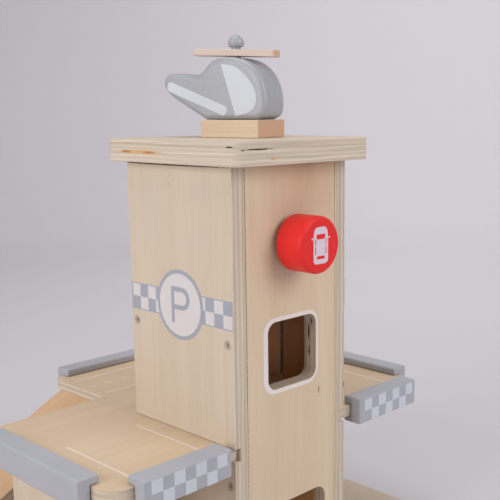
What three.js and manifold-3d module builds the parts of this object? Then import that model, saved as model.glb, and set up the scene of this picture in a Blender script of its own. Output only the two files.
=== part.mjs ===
// A wooden toy parking garage: a base board, an upper parking deck, a lift tower that is wound by
// a red knob, a ramp, and a helicopter that stands on the tower's roof.
// Millimetres, +Z up. The origin is the middle of the base board's underside. +X runs to the right
// along the tower's front and +Y away from it.
import * as THREE from "three";
import { mergeVertices } from "three/addons/utils/BufferGeometryUtils.js";
import Module from "manifold-3d";

const wasm = await Module();
wasm.setup();

// Clearances
const seam = 0.2; // between two wooden faces that are glued or rest on each other
const clearance = 0.3; // around screws, dowels and whatever turns or slides
const overrun = 1; // how far a cutting shape passes the face that it cuts

// Base board, and where the tower stands on it
const boardLength = 490;
const boardBehindDeck = 15.6;
const boardThick = 12;
const boardCornerRadius = 20;
const towerRightOfMiddle = 60;
const towerBehindBoardFront = 42;

// Tower
const towerWidth = 117.4;
const towerDepth = 114.6;
const sidePanelThick = 12;
const facePanelThick = 12;
const roofAboveDeck = 197.7;
const deckGrooveDepth = 5;
const guideGrooveWidth = 3.6;
const guideGrooveDepth = 4;
const guideFromFront = 55;

// Openings in the tower's front and rear panels
const windowWidth = 50.8;
const windowHeight = 50;
const windowAboveDeck = 34.6;
const windowCornerRadius = 8;
const doorWidth = 72;
const groundDoorHeight = 75;
const deckDoorHeight = 62;
const doorCornerRadius = 10;

// Roof
const roofThick = 16.5;
const roofSideOverhang = 10;
const roofFrontOverhang = 16.2;
const roofRearOverhang = 12.3;
const roofCornerRadius = 8;
const dowelRadius = 3;
const dowelLength = 20;
const dowelIntoRoof = 8;
const dowelFromTowerFace = 20;

// Upper deck
const deckRise = 130; // from the board's top to the deck's top
const deckThick = 9;
const deckWidth = 323.9;
const deckBehindTowerFront = 3.4;
const deckDepth = 239;
const deckRightOfTower = 0.9;
const deckCornerRadius = 18;
const rampNotchDepth = 75.4;
const rampNotchFromDeckMiddle = 53.2;
const notchCornerRadius = 4;

// Kerbs round the deck
const kerbWidth = 16.9;
const kerbHeight = 21;
const kerbAboveDeck = 6.4;
const kerbGrooveDepth = 6.5;
const kerbEdgeRadius = 2;
const kerbTowerGap = 10.6;
const sideKerbSetback = 2.6;
const kerbFromNotch = 8.3;

// Walls that carry the deck and the ramp
const wallThick = 12;
const sideWallInsideKerb = 6;
const rightWallLength = 120;
const rightWallFromDeckRear = 14;
const leftWallLength = 100;
const leftWallFromDeckFront = 46;
const rampWallFromRampHead = 2;

// Ramp
const rampThick = 9;
const rampRun = 236;
const rampNose = 1.5;
const rampLap = 10;
const rampSideGap = 1;
const rampHeadScrewFromFront = 23;

// Lift car
const liftRise = 20; // how far the car's floor stands above the deck at rest
const liftFloorThick = 9;
const liftSideGap = 0.5;
const liftEndGap = 1;
const cheekThick = 4;
const cheekShortOfGuide = 4.5;
const carHeadroom = 72;
const bridgeThick = 6;
const bridgeBehindLug = 4;
const cordFromTowerFront = 45;
const cordRadius = 0.8;
const beadRadius = 4;
const beadHeight = 6;

// Winding gear
const shaftAboveDeck = 141;
const shaftRadius = 4;
const shaftEndInset = 2;
const knobRadius = 20.5;
const knobLength = 23.5;
const knobFromPanel = 4;
const knobEdgeRadius = 3;
const knobFaceWall = 8;
const spoolCoreRadius = 8;
const spoolFlangeRadius = 14;
const spoolFlangeThick = 3;
const spoolWidth = 18;
const bushFlangeRadius = 8;
const bushSleeveRadius = 6;
const collarRadius = 8;
const collarLength = 6;

// Helicopter
const helicopterBehindTowerFront = 53.8;
const helicopterRightOfMiddle = 3.8;
const helicopterTurn = -76;
const standLength = 50;
const standWidth = 38;
const standHeight = 12.9;
const bodyLength = 91;
const bodyHeight = 45.1;
const bodyWidth = 29;
const bodyTailBehindStand = 62.5; // from the stand's middle back to the tail's tip
const bodyEdgeRadius = 4;
const pegBehindStand = 5;
const rotorLength = 66;
const rotorWidth = 14;
const rotorThick = 5;
const rotorCornerRadius = 3;
const rotorAboveBody = 1;
const rotorTurn = 9;
const pegNeckRadius = 3.5;
const pegHeadRadius = 6.2;
const pegHeadHeight = 8;
const pegNeckShow = 2.6;
const pegDepth = 12;

// Screws
const screwHeadRadius = 3.3;
const screwShankRadius = 1.6;
const screwHeadDepth = 2.4;
const screwSocketRadius = 1.7;
const screwSocketDepth = 1.5;
const screwLength = 30;
const rampScrewLength = 18;
const frontUpperScrewAboveDeck = 74.4;
const rearUpperScrewAboveDeck = 76;
const lowerScrewBelowDeck = 28;
const boardScrewFromTowerFace = 30;

// How finely round things are drawn, in sides
const screwSides = 10;
const shaftSides = 24;
const knobSides = 48;
const curveSides = 6;
const socketSides = 6;
const bodyEdgeSides = 3;
const bodySplineSides = 2;

// Places that follow from the sizes above
const degree = Math.PI / 180;
const quarterTurn = Math.PI / 2;
const boardDepth = towerBehindBoardFront + deckBehindTowerFront + deckDepth + boardBehindDeck;
const towerX = towerRightOfMiddle;
const towerFront = towerBehindBoardFront - boardDepth / 2;
const towerRear = towerFront + towerDepth;
const towerLeft = towerX - towerWidth / 2;
const towerRight = towerX + towerWidth / 2;
const wellHalf = towerWidth / 2 - sidePanelThick;
const deckTop = boardThick + deckRise;
const deckUnder = deckTop - deckThick;
const roofUnder = deckTop + roofAboveDeck;
const roofTop = roofUnder + roofThick;
const deckX = towerX + deckRightOfTower;
const deckLeft = deckX - deckWidth / 2;
const deckRight = deckX + deckWidth / 2;
const deckFront = towerFront + deckBehindTowerFront;
const deckRear = deckFront + deckDepth;
const armRear = deckRear - rampNotchDepth;
const notchX = deckX - rampNotchFromDeckMiddle;
const shaftZ = deckTop + shaftAboveDeck;
const cordReach = spoolCoreRadius + cordRadius + seam;

const plywood = new THREE.MeshStandardMaterial({ color: "#d6b98f", roughness: 0.6 });
const greyPaint = new THREE.MeshStandardMaterial({ color: "#a9abb1", roughness: 0.4 });
const redPaint = new THREE.MeshStandardMaterial({ color: "#e23b38", roughness: 0.35 });
const beech = new THREE.MeshStandardMaterial({ color: "#e2c09c", roughness: 0.55 });
const steel = new THREE.MeshStandardMaterial({ color: "#a39d98", roughness: 0.4, metalness: 0.9 });
const cotton = new THREE.MeshStandardMaterial({ color: "#e8e2d6", roughness: 0.9 });

// A closed three.js geometry as a solid that can be joined and cut.
function solidOf(geometry) {
  const bare = geometry.clone();
  bare.deleteAttribute("normal");
  bare.deleteAttribute("uv");
  const merged = mergeVertices(bare);
  const vertProperties = merged.attributes.position.array;
  const triVerts = new Uint32Array(merged.index.array);
  return new wasm.Manifold(new wasm.Mesh({ numProp: 3, vertProperties, triVerts }));
}

function geometryOf(solid) {
  const { vertProperties, triVerts } = solid.getMesh();
  const geometry = new THREE.BufferGeometry();
  geometry.setAttribute("position", new THREE.BufferAttribute(vertProperties, 3));
  geometry.setIndex(new THREE.BufferAttribute(triVerts, 1));
  geometry.computeVertexNormals();
  return geometry;
}

// The first geometry with all the others cut out of it.
function cut(geometry, tools) {
  return geometryOf(tools.reduce((left, tool) => left.subtract(solidOf(tool)), solidOf(geometry)));
}

function piece(name, geometry, material) {
  const mesh = new THREE.Mesh(geometry, material);
  mesh.name = name;
  return mesh;
}

// A box given by its low and high place along each axis.
function slab([x0, x1], [y0, y1], [z0, z1]) {
  const box = new THREE.BoxGeometry(x1 - x0, y1 - y0, z1 - z0);
  return box.translate((x0 + x1) / 2, (y0 + y1) / 2, (z0 + z1) / 2);
}

// A rectangle with a radius at each corner, starting at the low left and going round to the left.
function roundedRectangle([x0, x1], [y0, y1], [lowLeft, lowRight, highRight, highLeft]) {
  const shape = new THREE.Shape();
  shape.moveTo(x0 + lowLeft, y0);
  shape.lineTo(x1 - lowRight, y0);
  if (lowRight) shape.absarc(x1 - lowRight, y0 + lowRight, lowRight, -quarterTurn, 0);
  shape.lineTo(x1, y1 - highRight);
  if (highRight) shape.absarc(x1 - highRight, y1 - highRight, highRight, 0, quarterTurn);
  shape.lineTo(x0 + highLeft, y1);
  if (highLeft) shape.absarc(x0 + highLeft, y1 - highLeft, highLeft, quarterTurn, Math.PI);
  shape.lineTo(x0, y0 + lowLeft);
  if (lowLeft) shape.absarc(x0 + lowLeft, y0 + lowLeft, lowLeft, Math.PI, Math.PI + quarterTurn);
  return shape;
}

const evenCorners = (radius) => [radius, radius, radius, radius];

function polygon(points) {
  return new THREE.Shape(points.map(([x, y]) => new THREE.Vector2(x, y)));
}

// An outline in X and Y, raised by a thickness.
function lying(shape, thick) {
  return new THREE.ExtrudeGeometry(shape, {
    depth: thick,
    bevelEnabled: false,
    curveSegments: curveSides,
  });
}

// An outline in X and Z, drawn out along +Y.
function standing(shape, length) {
  return lying(shape, length).rotateX(quarterTurn).translate(0, length, 0);
}

// A profile of radius and height, turned about the Y axis.
function turned(profile, sides) {
  return new THREE.LatheGeometry(profile.map(([r, h]) => new THREE.Vector2(r, h)), sides);
}

// A ring about the Y axis from y0 to y1.
function ring(inner, outer, y0, y1, sides) {
  return turned(
    [
      [inner, y0],
      [outer, y0],
      [outer, y1],
      [inner, y1],
      [inner, y0],
    ],
    sides,
  );
}

// Screws. Each has the middle of its head, the way that the head faces, and a length.
const screws = [];

function placeScrew(geometry, screw) {
  const facing = new THREE.Vector3(...screw.facing).normalize();
  const turn = new THREE.Quaternion().setFromUnitVectors(new THREE.Vector3(0, 1, 0), facing);
  return geometry.applyQuaternion(turn).translate(...screw.at);
}

function screwGeometry(screw) {
  const body = turned(
    [
      [0, -screw.length],
      [screwShankRadius, -screw.length + screwShankRadius],
      [screwShankRadius, -screwHeadDepth],
      [screwHeadRadius, -seam],
      [0, -seam],
    ],
    screwSides,
  );
  const socket = new THREE.CylinderGeometry(
    screwSocketRadius,
    screwSocketRadius,
    screwSocketDepth + overrun,
    socketSides,
  );
  socket.translate(0, (overrun - screwSocketDepth) / 2 - seam, 0);
  return placeScrew(cut(body, [socket]), screw);
}

function screwHole(screw) {
  const bore = screwShankRadius + clearance;
  const mouth = screwHeadRadius + clearance;
  const profile = [
    [0, -screw.length - clearance],
    [bore, -screw.length - clearance],
    [bore, -screwHeadDepth],
    [mouth, -seam],
    [mouth, overrun],
    [0, overrun],
  ];
  return placeScrew(turned(profile, screwSides), screw);
}

function addScrew(name, at, facing, length) {
  const screw = { name, at, facing, length };
  screws.push(screw);
  return screw;
}

// Base board, with its screws coming up from below
const panelMiddles = { left: towerLeft + sidePanelThick / 2, right: towerRight - sidePanelThick / 2 };
const down = [0, 0, -1];
const towerBoardScrews = { left: [], right: [] };
for (const [side, x] of Object.entries(panelMiddles)) {
  const places = {
    front: towerFront + boardScrewFromTowerFace,
    rear: towerRear - boardScrewFromTowerFace,
  };
  for (const [end, y] of Object.entries(places)) {
    towerBoardScrews[side].push(
      addScrew("board_screw_" + side + "_panel_" + end, [x, y, 0], down, screwLength),
    );
  }
}

// The line of the ramp's top, in X and Z
const rampHeadX = notchX - clearance;
const rampToeX = rampHeadX - rampRun;
const rampHeadZ = deckUnder - seam;
const rampSlope = (rampHeadZ - boardThick - rampNose) / rampRun;
const rampAngle = Math.atan(rampSlope);
const rampDrop = rampThick / Math.cos(rampAngle);
const rampTopAt = (x) => rampHeadZ - (rampHeadX - x) * rampSlope;
const rampFront = armRear + rampSideGap;
const rampRear = deckRear - kerbGrooveDepth - rampSideGap;

// Supporting walls
const wallFoot = boardThick + seam;
const rightWallX = deckRight - kerbGrooveDepth - sideWallInsideKerb - wallThick;
const leftWallX = deckLeft + kerbGrooveDepth + sideWallInsideKerb;
const rampWallX = rampHeadX - rampWallFromRampHead - wallThick;
const rightWallRear = deckRear - rightWallFromDeckRear;
const leftWallFront = deckFront + leftWallFromDeckFront;
const walls = {
  right: { x: rightWallX, y: [rightWallRear - rightWallLength, rightWallRear] },
  left: { x: leftWallX, y: [leftWallFront, leftWallFront + leftWallLength] },
  ramp: { x: rampWallX, y: [rampFront, rampRear] },
};
for (const [name, wall] of Object.entries(walls)) {
  const [low, high] = wall.y;
  const quarter = (high - low) / 4;
  const places = { front: low + quarter, rear: high - quarter };
  wall.screws = Object.entries(places).map(([end, y]) =>
    addScrew(
      "board_screw_" + name + "_wall_" + end,
      [wall.x + wallThick / 2, y, 0],
      down,
      screwLength,
    ),
  );
}

// The ramp's toe is held from below, where it is thick enough, and its head by one screw from above
const rampFootX = rampToeX + (rampDrop + seam - rampNose) / rampSlope;
const rampToeScrews = ["front", "rear"].map((end, i) => {
  const quarter = (rampRear - rampFront) / 4;
  const y = i ? rampRear - quarter : rampFront + quarter;
  return addScrew("ramp_toe_screw_" + end, [rampFootX, y, 0], down, rampScrewLength);
});
const rampHeadScrewX = rampWallX + wallThick / 2 + rampDrop * Math.sin(rampAngle);
const rampHeadScrew = addScrew(
  "ramp_head_screw",
  [rampHeadScrewX, rampFront + rampHeadScrewFromFront, rampTopAt(rampHeadScrewX)],
  [-Math.sin(rampAngle), 0, Math.cos(rampAngle)],
  screwLength,
);

const boardScrews = screws.filter((screw) => screw !== rampHeadScrew);
const halfLength = boardLength / 2;
const halfDepth = boardDepth / 2;
const boardOutline = roundedRectangle(
  [-halfLength, halfLength],
  [-halfDepth, halfDepth],
  evenCorners(boardCornerRadius),
);
const baseBoard = piece(
  "base_board",
  cut(lying(boardOutline, boardThick), boardScrews.map(screwHole)),
  plywood,
);

const rightWall = piece(
  "right_wall",
  cut(
    slab([rightWallX, rightWallX + wallThick], walls.right.y, [wallFoot, deckUnder - seam]),
    walls.right.screws.map(screwHole),
  ),
  plywood,
);
const leftWall = piece(
  "left_wall",
  cut(
    slab([leftWallX, leftWallX + wallThick], walls.left.y, [wallFoot, deckUnder - seam]),
    walls.left.screws.map(screwHole),
  ),
  plywood,
);

// The ramp's wall is cut along the ramp's underside.
const rampUnderAt = (x) => rampTopAt(x) - rampDrop;
const rampWallOutline = polygon([
  [rampWallX, wallFoot],
  [rampWallX + wallThick, wallFoot],
  [rampWallX + wallThick, rampUnderAt(rampWallX + wallThick) - clearance],
  [rampWallX, rampUnderAt(rampWallX) - clearance],
]);
const rampWall = piece(
  "ramp_wall",
  cut(standing(rampWallOutline, rampRear - rampFront).translate(0, rampFront, 0), [
    ...walls.ramp.screws.map(screwHole),
    screwHole(rampHeadScrew),
  ]),
  plywood,
);

const rampOutline = polygon([
  [rampHeadX + rampLap, rampHeadZ],
  [rampHeadX, rampHeadZ],
  [rampToeX, boardThick + rampNose],
  [rampToeX, wallFoot],
  [rampFootX, wallFoot],
  [rampHeadX, rampHeadZ - rampDrop],
  [rampHeadX + rampLap, rampHeadZ - rampDrop],
]);
const rampBoard = piece(
  "ramp_board",
  cut(standing(rampOutline, rampRear - rampFront).translate(0, rampFront, 0), [
    ...rampToeScrews.map(screwHole),
    screwHole(rampHeadScrew),
  ]),
  plywood,
);

// Deck plate: it slides onto the tower from behind, in the grooves of the tower's side panels
const cutHalf = towerWidth / 2 - deckGrooveDepth + clearance;
const deckOutline = new THREE.Shape();
const corner = deckCornerRadius;
deckOutline.moveTo(towerX + cutHalf, deckFront);
deckOutline.lineTo(deckRight - corner, deckFront);
deckOutline.absarc(deckRight - corner, deckFront + corner, corner, -quarterTurn, 0);
deckOutline.lineTo(deckRight, deckRear - corner);
deckOutline.absarc(deckRight - corner, deckRear - corner, corner, 0, quarterTurn);
deckOutline.lineTo(notchX + notchCornerRadius, deckRear);
deckOutline.absarc(
  notchX + notchCornerRadius,
  deckRear - notchCornerRadius,
  notchCornerRadius,
  quarterTurn,
  Math.PI,
);
deckOutline.lineTo(notchX, armRear + notchCornerRadius);
deckOutline.absarc(
  notchX - notchCornerRadius,
  armRear + notchCornerRadius,
  notchCornerRadius,
  0,
  -quarterTurn,
  true,
);
deckOutline.lineTo(deckLeft + corner, armRear);
deckOutline.absarc(deckLeft + corner, armRear - corner, corner, quarterTurn, Math.PI);
deckOutline.lineTo(deckLeft, deckFront + corner);
deckOutline.absarc(deckLeft + corner, deckFront + corner, corner, Math.PI, Math.PI + quarterTurn);
deckOutline.lineTo(towerX - cutHalf, deckFront);
deckOutline.lineTo(towerX - cutHalf, towerRear + seam);
deckOutline.lineTo(towerX + cutHalf, towerRear + seam);
const deckPlate = piece(
  "deck_plate",
  lying(deckOutline, deckThick).translate(0, 0, deckUnder),
  plywood,
);

// Kerbs: one section, drawn out to five lengths and turned so that its groove faces the deck
const grooveLow = kerbHeight - kerbAboveDeck - deckThick - seam;
const grooveHigh = kerbHeight - kerbAboveDeck + seam;
const grooveBottom = kerbWidth - kerbGrooveDepth - clearance;
const kerbSection = roundedRectangle([0, kerbWidth], [0, kerbHeight], evenCorners(kerbEdgeRadius));
const kerbOut = kerbWidth - kerbGrooveDepth;
const kerbZ = deckTop + kerbAboveDeck - kerbHeight;
const sideKerbFront = deckFront + deckCornerRadius + sideKerbSetback;
const frontKerbInnerRight = towerRight + kerbTowerGap + deckRightOfTower;
const frontKerbInnerLeft = towerLeft - kerbTowerGap + deckRightOfTower;
const kerbs = {
  front_left_kerb: {
    turn: quarterTurn,
    at: [frontKerbInnerLeft, deckFront - kerbOut],
    length: frontKerbInnerLeft - deckLeft - deckCornerRadius,
  },
  front_right_kerb: {
    turn: quarterTurn,
    at: [deckRight - deckCornerRadius, deckFront - kerbOut],
    length: deckRight - deckCornerRadius - frontKerbInnerRight,
  },
  right_kerb: {
    turn: Math.PI,
    at: [deckRight + kerbOut, deckRear - deckCornerRadius - sideKerbSetback],
    length: deckRear - deckCornerRadius - sideKerbSetback - sideKerbFront,
  },
  rear_kerb: {
    turn: -quarterTurn,
    at: [notchX + kerbFromNotch, deckRear + kerbOut],
    length: deckRight - deckCornerRadius - notchX - kerbFromNotch,
  },
  left_kerb: {
    turn: 0,
    at: [deckLeft - kerbOut, sideKerbFront],
    length: armRear - deckCornerRadius - sideKerbSetback - sideKerbFront,
  },
};

function kerbPiece(name, { turn, at, length }) {
  const groove = slab(
    [grooveBottom, kerbWidth + overrun],
    [-overrun, length + overrun],
    [grooveLow, grooveHigh],
  );
  const kerb = piece(name, cut(standing(kerbSection, length), [groove]), greyPaint);
  kerb.rotation.z = turn;
  kerb.position.set(...at, kerbZ);
  return kerb;
}

// Tower side panels, each with a groove outside for the deck and one inside for the lift's lugs
const lowerScrewZ = deckTop - lowerScrewBelowDeck;
const sideScrewRows = {
  front: {
    y: towerFront + facePanelThick / 2,
    heights: { upper: deckTop + frontUpperScrewAboveDeck, lower: lowerScrewZ },
  },
  rear: {
    y: towerRear - facePanelThick / 2,
    heights: { upper: deckTop + rearUpperScrewAboveDeck, lower: lowerScrewZ },
  },
};
const outward = { left: -1, right: 1 };
const faceScrews = { front: [], rear: [] };
const sideScrews = { left: [], right: [] };
for (const [side, way] of Object.entries(outward)) {
  const x = towerX + (way * towerWidth) / 2;
  for (const [face, row] of Object.entries(sideScrewRows)) {
    for (const [level, z] of Object.entries(row.heights)) {
      const name = "tower_screw_" + side + "_" + face + "_" + level;
      const screw = addScrew(name, [x, row.y, z], [way, 0, 0], screwLength);
      faceScrews[face].push(screw);
      sideScrews[side].push(screw);
    }
  }
}

// Dowels that hold the roof down on the side panels
const dowels = [];
for (const [side, x] of Object.entries(panelMiddles)) {
  const places = {
    front: towerFront + dowelFromTowerFace,
    rear: towerRear - dowelFromTowerFace,
  };
  for (const [end, y] of Object.entries(places)) {
    dowels.push({ name: "roof_dowel_" + side + "_" + end, side, x, y });
  }
}
const dowelLow = roofUnder + dowelIntoRoof - dowelLength;

function dowelShape({ x, y }, grow) {
  const rod = new THREE.CylinderGeometry(
    dowelRadius + grow,
    dowelRadius + grow,
    dowelLength + 2 * grow,
    screwSides,
  );
  return rod.rotateX(quarterTurn).translate(x, y, dowelLow + dowelLength / 2);
}

function sidePanel(side) {
  const way = outward[side];
  const outer = towerX + (way * towerWidth) / 2;
  const inner = outer - way * sidePanelThick;
  const span = (a, b) => [Math.min(a, b), Math.max(a, b)];
  const full = slab(span(outer, inner), [towerFront, towerRear], [wallFoot, roofUnder - seam]);
  const deckGroove = slab(
    span(outer - way * deckGrooveDepth, outer + way * overrun),
    [towerFront - overrun, towerRear + overrun],
    [deckUnder - seam, deckTop + seam],
  );
  const guideGroove = slab(
    span(inner + way * guideGrooveDepth, inner - way * overrun),
    [towerFront + guideFromFront, towerFront + guideFromFront + guideGrooveWidth],
    [boardThick, roofUnder],
  );
  return piece(
    "tower_" + side + "_panel",
    cut(full, [
      deckGroove,
      guideGroove,
      ...sideScrews[side].map(screwHole),
      ...towerBoardScrews[side].map(screwHole),
      ...dowels.filter((dowel) => dowel.side === side).map((dowel) => dowelShape(dowel, clearance)),
    ]),
    plywood,
  );
}

// Front and rear panels fit between the side panels
const faceHalf = wellHalf - seam;
const bushHole = (y0, y1) =>
  new THREE.CylinderGeometry(
    bushSleeveRadius + clearance,
    bushSleeveRadius + clearance,
    y1 - y0,
    shaftSides,
  ).translate(towerX, (y0 + y1) / 2, shaftZ);

function openingShape(width, low, high, radii) {
  return roundedRectangle([towerX - width / 2, towerX + width / 2], [low, high], radii);
}

const archCorners = [0, 0, doorCornerRadius, doorCornerRadius];
const groundDoor = openingShape(
  doorWidth,
  boardThick - overrun,
  boardThick + groundDoorHeight,
  archCorners,
);
const deckDoor = openingShape(doorWidth, deckTop, deckTop + deckDoorHeight, archCorners);
const windowBottom = deckTop + windowAboveDeck;
const frontWindow = openingShape(
  windowWidth,
  windowBottom,
  windowBottom + windowHeight,
  evenCorners(windowCornerRadius),
);

function facePanel(name, y, openings, heldBy) {
  const full = slab(
    [towerX - faceHalf, towerX + faceHalf],
    [y, y + facePanelThick],
    [wallFoot, roofUnder - seam],
  );
  const through = (shape) =>
    standing(shape, facePanelThick + 2 * overrun).translate(0, y - overrun, 0);
  const tools = [...openings.map(through), bushHole(y - overrun, y + facePanelThick + overrun)];
  return piece(name, cut(full, [...tools, ...heldBy.map(screwHole)]), plywood);
}

const frontPanel = facePanel(
  "tower_front_panel",
  towerFront,
  [groundDoor, frontWindow],
  faceScrews.front,
);
const rearPanel = facePanel(
  "tower_rear_panel",
  towerRear - facePanelThick,
  [groundDoor, deckDoor],
  faceScrews.rear,
);

// Roof
const roofOutline = roundedRectangle(
  [towerLeft - roofSideOverhang, towerRight + roofSideOverhang],
  [towerFront - roofFrontOverhang, towerRear + roofRearOverhang],
  evenCorners(roofCornerRadius),
);
const roofBoard = piece(
  "roof_board",
  cut(
    lying(roofOutline, roofThick).translate(0, 0, roofUnder),
    dowels.map((dowel) => dowelShape(dowel, clearance)),
  ),
  plywood,
);
const dowelPieces = dowels.map((dowel) => piece(dowel.name, dowelShape(dowel, 0), beech));

// Lift car, in a group whose origin is on the car's floor, at the tower's front and middle
const lift = new THREE.Group();
lift.position.set(towerX, towerFront, deckTop + liftRise);
const carHalf = wellHalf - liftSideGap;
const carFront = facePanelThick + liftEndGap;
const carRear = towerDepth - facePanelThick - liftEndGap;
const cheekRear = guideFromFront - cheekShortOfGuide;
const lugFront = guideFromFront + clearance;
const lugRear = guideFromFront + guideGrooveWidth - clearance;
const lugReach = wellHalf + guideGrooveDepth - clearance;
const cheekInner = carHalf - cheekThick;

// A plate of the car, with a lug on each side that runs in the side panels' guide grooves
function guidedPlate(rear, low, thick) {
  const rightHalf = [
    [carHalf, carFront],
    [carHalf, lugFront],
    [lugReach, lugFront],
    [lugReach, lugRear],
    [carHalf, lugRear],
    [carHalf, rear],
  ];
  const leftHalf = rightHalf.map(([x, y]) => [-x, y]).reverse();
  return lying(polygon([...rightHalf, ...leftHalf]), thick).translate(0, 0, low);
}

lift.add(piece("lift_floor", guidedPlate(carRear, -liftFloorThick, liftFloorThick), plywood));
for (const [side, way] of Object.entries(outward)) {
  const across = [way * cheekInner, way * carHalf].sort((a, b) => a - b);
  const cheek = slab(across, [carFront, cheekRear], [seam, carHeadroom]);
  lift.add(piece("lift_" + side + "_cheek", cheek, plywood));
}
const cordHole = new THREE.CylinderGeometry(
  cordRadius + clearance,
  cordRadius + clearance,
  bridgeThick + 2 * overrun,
  screwSides,
);
const bridgeLow = carHeadroom + seam;
cordHole.rotateX(quarterTurn);
cordHole.translate(cordReach, cordFromTowerFront, bridgeLow + bridgeThick / 2);
const bridge = guidedPlate(lugRear + bridgeBehindLug, bridgeLow, bridgeThick);
lift.add(piece("lift_bridge", cut(bridge, [cordHole]), plywood));

// A bead under the bridge keeps the cord's end from slipping through
const beadTop = bridgeLow - seam;
const bead = turned(
  [
    [0, -beadHeight],
    [beadRadius / 2, -beadHeight],
    [beadRadius, -beadHeight / 2],
    [beadRadius / 2, 0],
    [0, 0],
  ],
  screwSides,
);
bead.rotateX(quarterTurn).translate(cordReach, cordFromTowerFront, beadTop);
lift.add(piece("cord_bead", bead, beech));
const cordTop = shaftZ - lift.position.z;
const cordLow = beadTop + clearance;
const cord = new THREE.CylinderGeometry(cordRadius, cordRadius, cordTop - cordLow, screwSides);
cord.rotateX(quarterTurn).translate(cordReach, cordFromTowerFront, (cordTop + cordLow) / 2);
lift.add(piece("lift_cord", cord, cotton));

// Winding gear, in a group whose origin is where the shaft's axis meets the tower's front
const drive = new THREE.Group();
drive.position.set(towerX, towerFront, shaftZ);
const knobFace = -knobFromPanel - knobLength;
const boreRadius = shaftRadius + seam;
const runningRadius = shaftRadius + clearance;
const shaftFront = knobFace + knobFaceWall;
const shaftRear = towerDepth - shaftEndInset;
const shaft = new THREE.CylinderGeometry(
  shaftRadius,
  shaftRadius,
  shaftRear - shaftFront,
  shaftSides,
);
drive.add(piece("winding_shaft", shaft.translate(0, (shaftRear + shaftFront) / 2, 0), beech));

const knobProfile = [
  [0, shaftFront - seam],
  [0, knobFace],
];
for (let i = 0; i <= curveSides; i++) {
  const angle = (quarterTurn * i) / curveSides;
  knobProfile.push([
    knobRadius - knobEdgeRadius + knobEdgeRadius * Math.sin(angle),
    knobFace + knobEdgeRadius - knobEdgeRadius * Math.cos(angle),
  ]);
}
knobProfile.push(
  [knobRadius, -knobFromPanel],
  [boreRadius, -knobFromPanel],
  [boreRadius, shaftFront - seam],
  [0, shaftFront - seam],
);
drive.add(piece("lift_knob", turned(knobProfile, knobSides), redPaint));

const bushFlangeThick = knobFromPanel - clearance - seam;
function bushGeometry(flangeY, sleeveY) {
  const flange = solidOf(ring(runningRadius, bushFlangeRadius, ...flangeY, shaftSides));
  const sleeve = solidOf(ring(runningRadius, bushSleeveRadius, ...sleeveY, shaftSides));
  return geometryOf(flange.add(sleeve));
}
const rearFlangeFront = towerDepth - facePanelThick - seam - bushFlangeThick;
drive.add(
  piece(
    "front_bush",
    bushGeometry([-bushFlangeThick - seam, -seam], [-seam - bushFlangeThick, facePanelThick]),
    beech,
  ),
  piece(
    "rear_bush",
    bushGeometry(
      [rearFlangeFront, rearFlangeFront + bushFlangeThick],
      [rearFlangeFront, towerDepth - seam],
    ),
    beech,
  ),
);
const collarFront = facePanelThick + clearance;
drive.add(
  piece(
    "shaft_collar",
    ring(boreRadius, collarRadius, collarFront, collarFront + collarLength, shaftSides),
    beech,
  ),
);
const spoolFront = cordFromTowerFront - spoolWidth / 2;
const spoolRear = spoolFront + spoolWidth;
const spoolProfile = [
  [boreRadius, spoolFront],
  [spoolFlangeRadius, spoolFront],
  [spoolFlangeRadius, spoolFront + spoolFlangeThick],
  [spoolCoreRadius, spoolFront + spoolFlangeThick],
  [spoolCoreRadius, spoolRear - spoolFlangeThick],
  [spoolFlangeRadius, spoolRear - spoolFlangeThick],
  [spoolFlangeRadius, spoolRear],
  [boreRadius, spoolRear],
  [boreRadius, spoolFront],
];
drive.add(piece("cord_spool", turned(spoolProfile, shaftSides), beech));

// Helicopter, in a group whose origin is under the middle of its stand, nose along +X
const helicopter = new THREE.Group();
helicopter.position.set(
  towerX + helicopterRightOfMiddle,
  towerFront + helicopterBehindTowerFront,
  roofTop + seam,
);
helicopter.rotation.z = helicopterTurn * degree;
helicopter.add(
  piece(
    "helicopter_stand",
    slab([-standLength / 2, standLength / 2], [-standWidth / 2, standWidth / 2], [0, standHeight]),
    beech,
  ),
);

// The body's side view, from the heel along the belly and round by the nose and the tail, as
// shares of its length and height
const bodyHeelShares = [0.418, 0];
const bodyToeShares = [0.912, 0];
const bodyNoseShares = [
  [0.974, 0.058],
  [0.998, 0.168],
  [1, 0.31],
  [0.986, 0.485],
  [0.947, 0.672],
  [0.88, 0.834],
  [0.791, 0.94],
  [0.695, 0.99],
  [0.62, 1],
  [0.55, 0.99],
  [0.48, 0.942],
  [0.403, 0.809],
  [0.344, 0.72],
];
const bodyTailShares = [
  [0.247, 0.735],
  [0.151, 0.763],
  [0.055, 0.762],
  [0.01, 0.69],
  [0, 0.579],
  [0.025, 0.476],
  [0.095, 0.355],
];
const bodyLow = standHeight + seam;
function bodyPoint([along, above]) {
  return new THREE.Vector2(along * bodyLength - bodyTailBehindStand, bodyLow + above * bodyHeight);
}
const bodyOutline = new THREE.Shape();
bodyOutline.moveTo(...bodyPoint(bodyHeelShares).toArray());
bodyOutline.lineTo(...bodyPoint(bodyToeShares).toArray());
bodyOutline.splineThru(bodyNoseShares.map(bodyPoint));
bodyOutline.splineThru(bodyTailShares.map(bodyPoint));
const bodyPlain = new THREE.ExtrudeGeometry(bodyOutline, {
  depth: bodyWidth - 2 * bodyEdgeRadius,
  bevelThickness: bodyEdgeRadius,
  bevelSize: bodyEdgeRadius,
  bevelOffset: -bodyEdgeRadius,
  bevelSegments: bodyEdgeSides,
  curveSegments: bodySplineSides,
});
bodyPlain.rotateX(quarterTurn).translate(0, bodyWidth / 2 - bodyEdgeRadius, 0);
const bodyTop = bodyLow + bodyHeight;
const rotorLow = bodyTop + rotorAboveBody;
const rotorHigh = rotorLow + rotorThick;
const pegX = -pegBehindStand;
const pegFoot = bodyTop - pegDepth;
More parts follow.
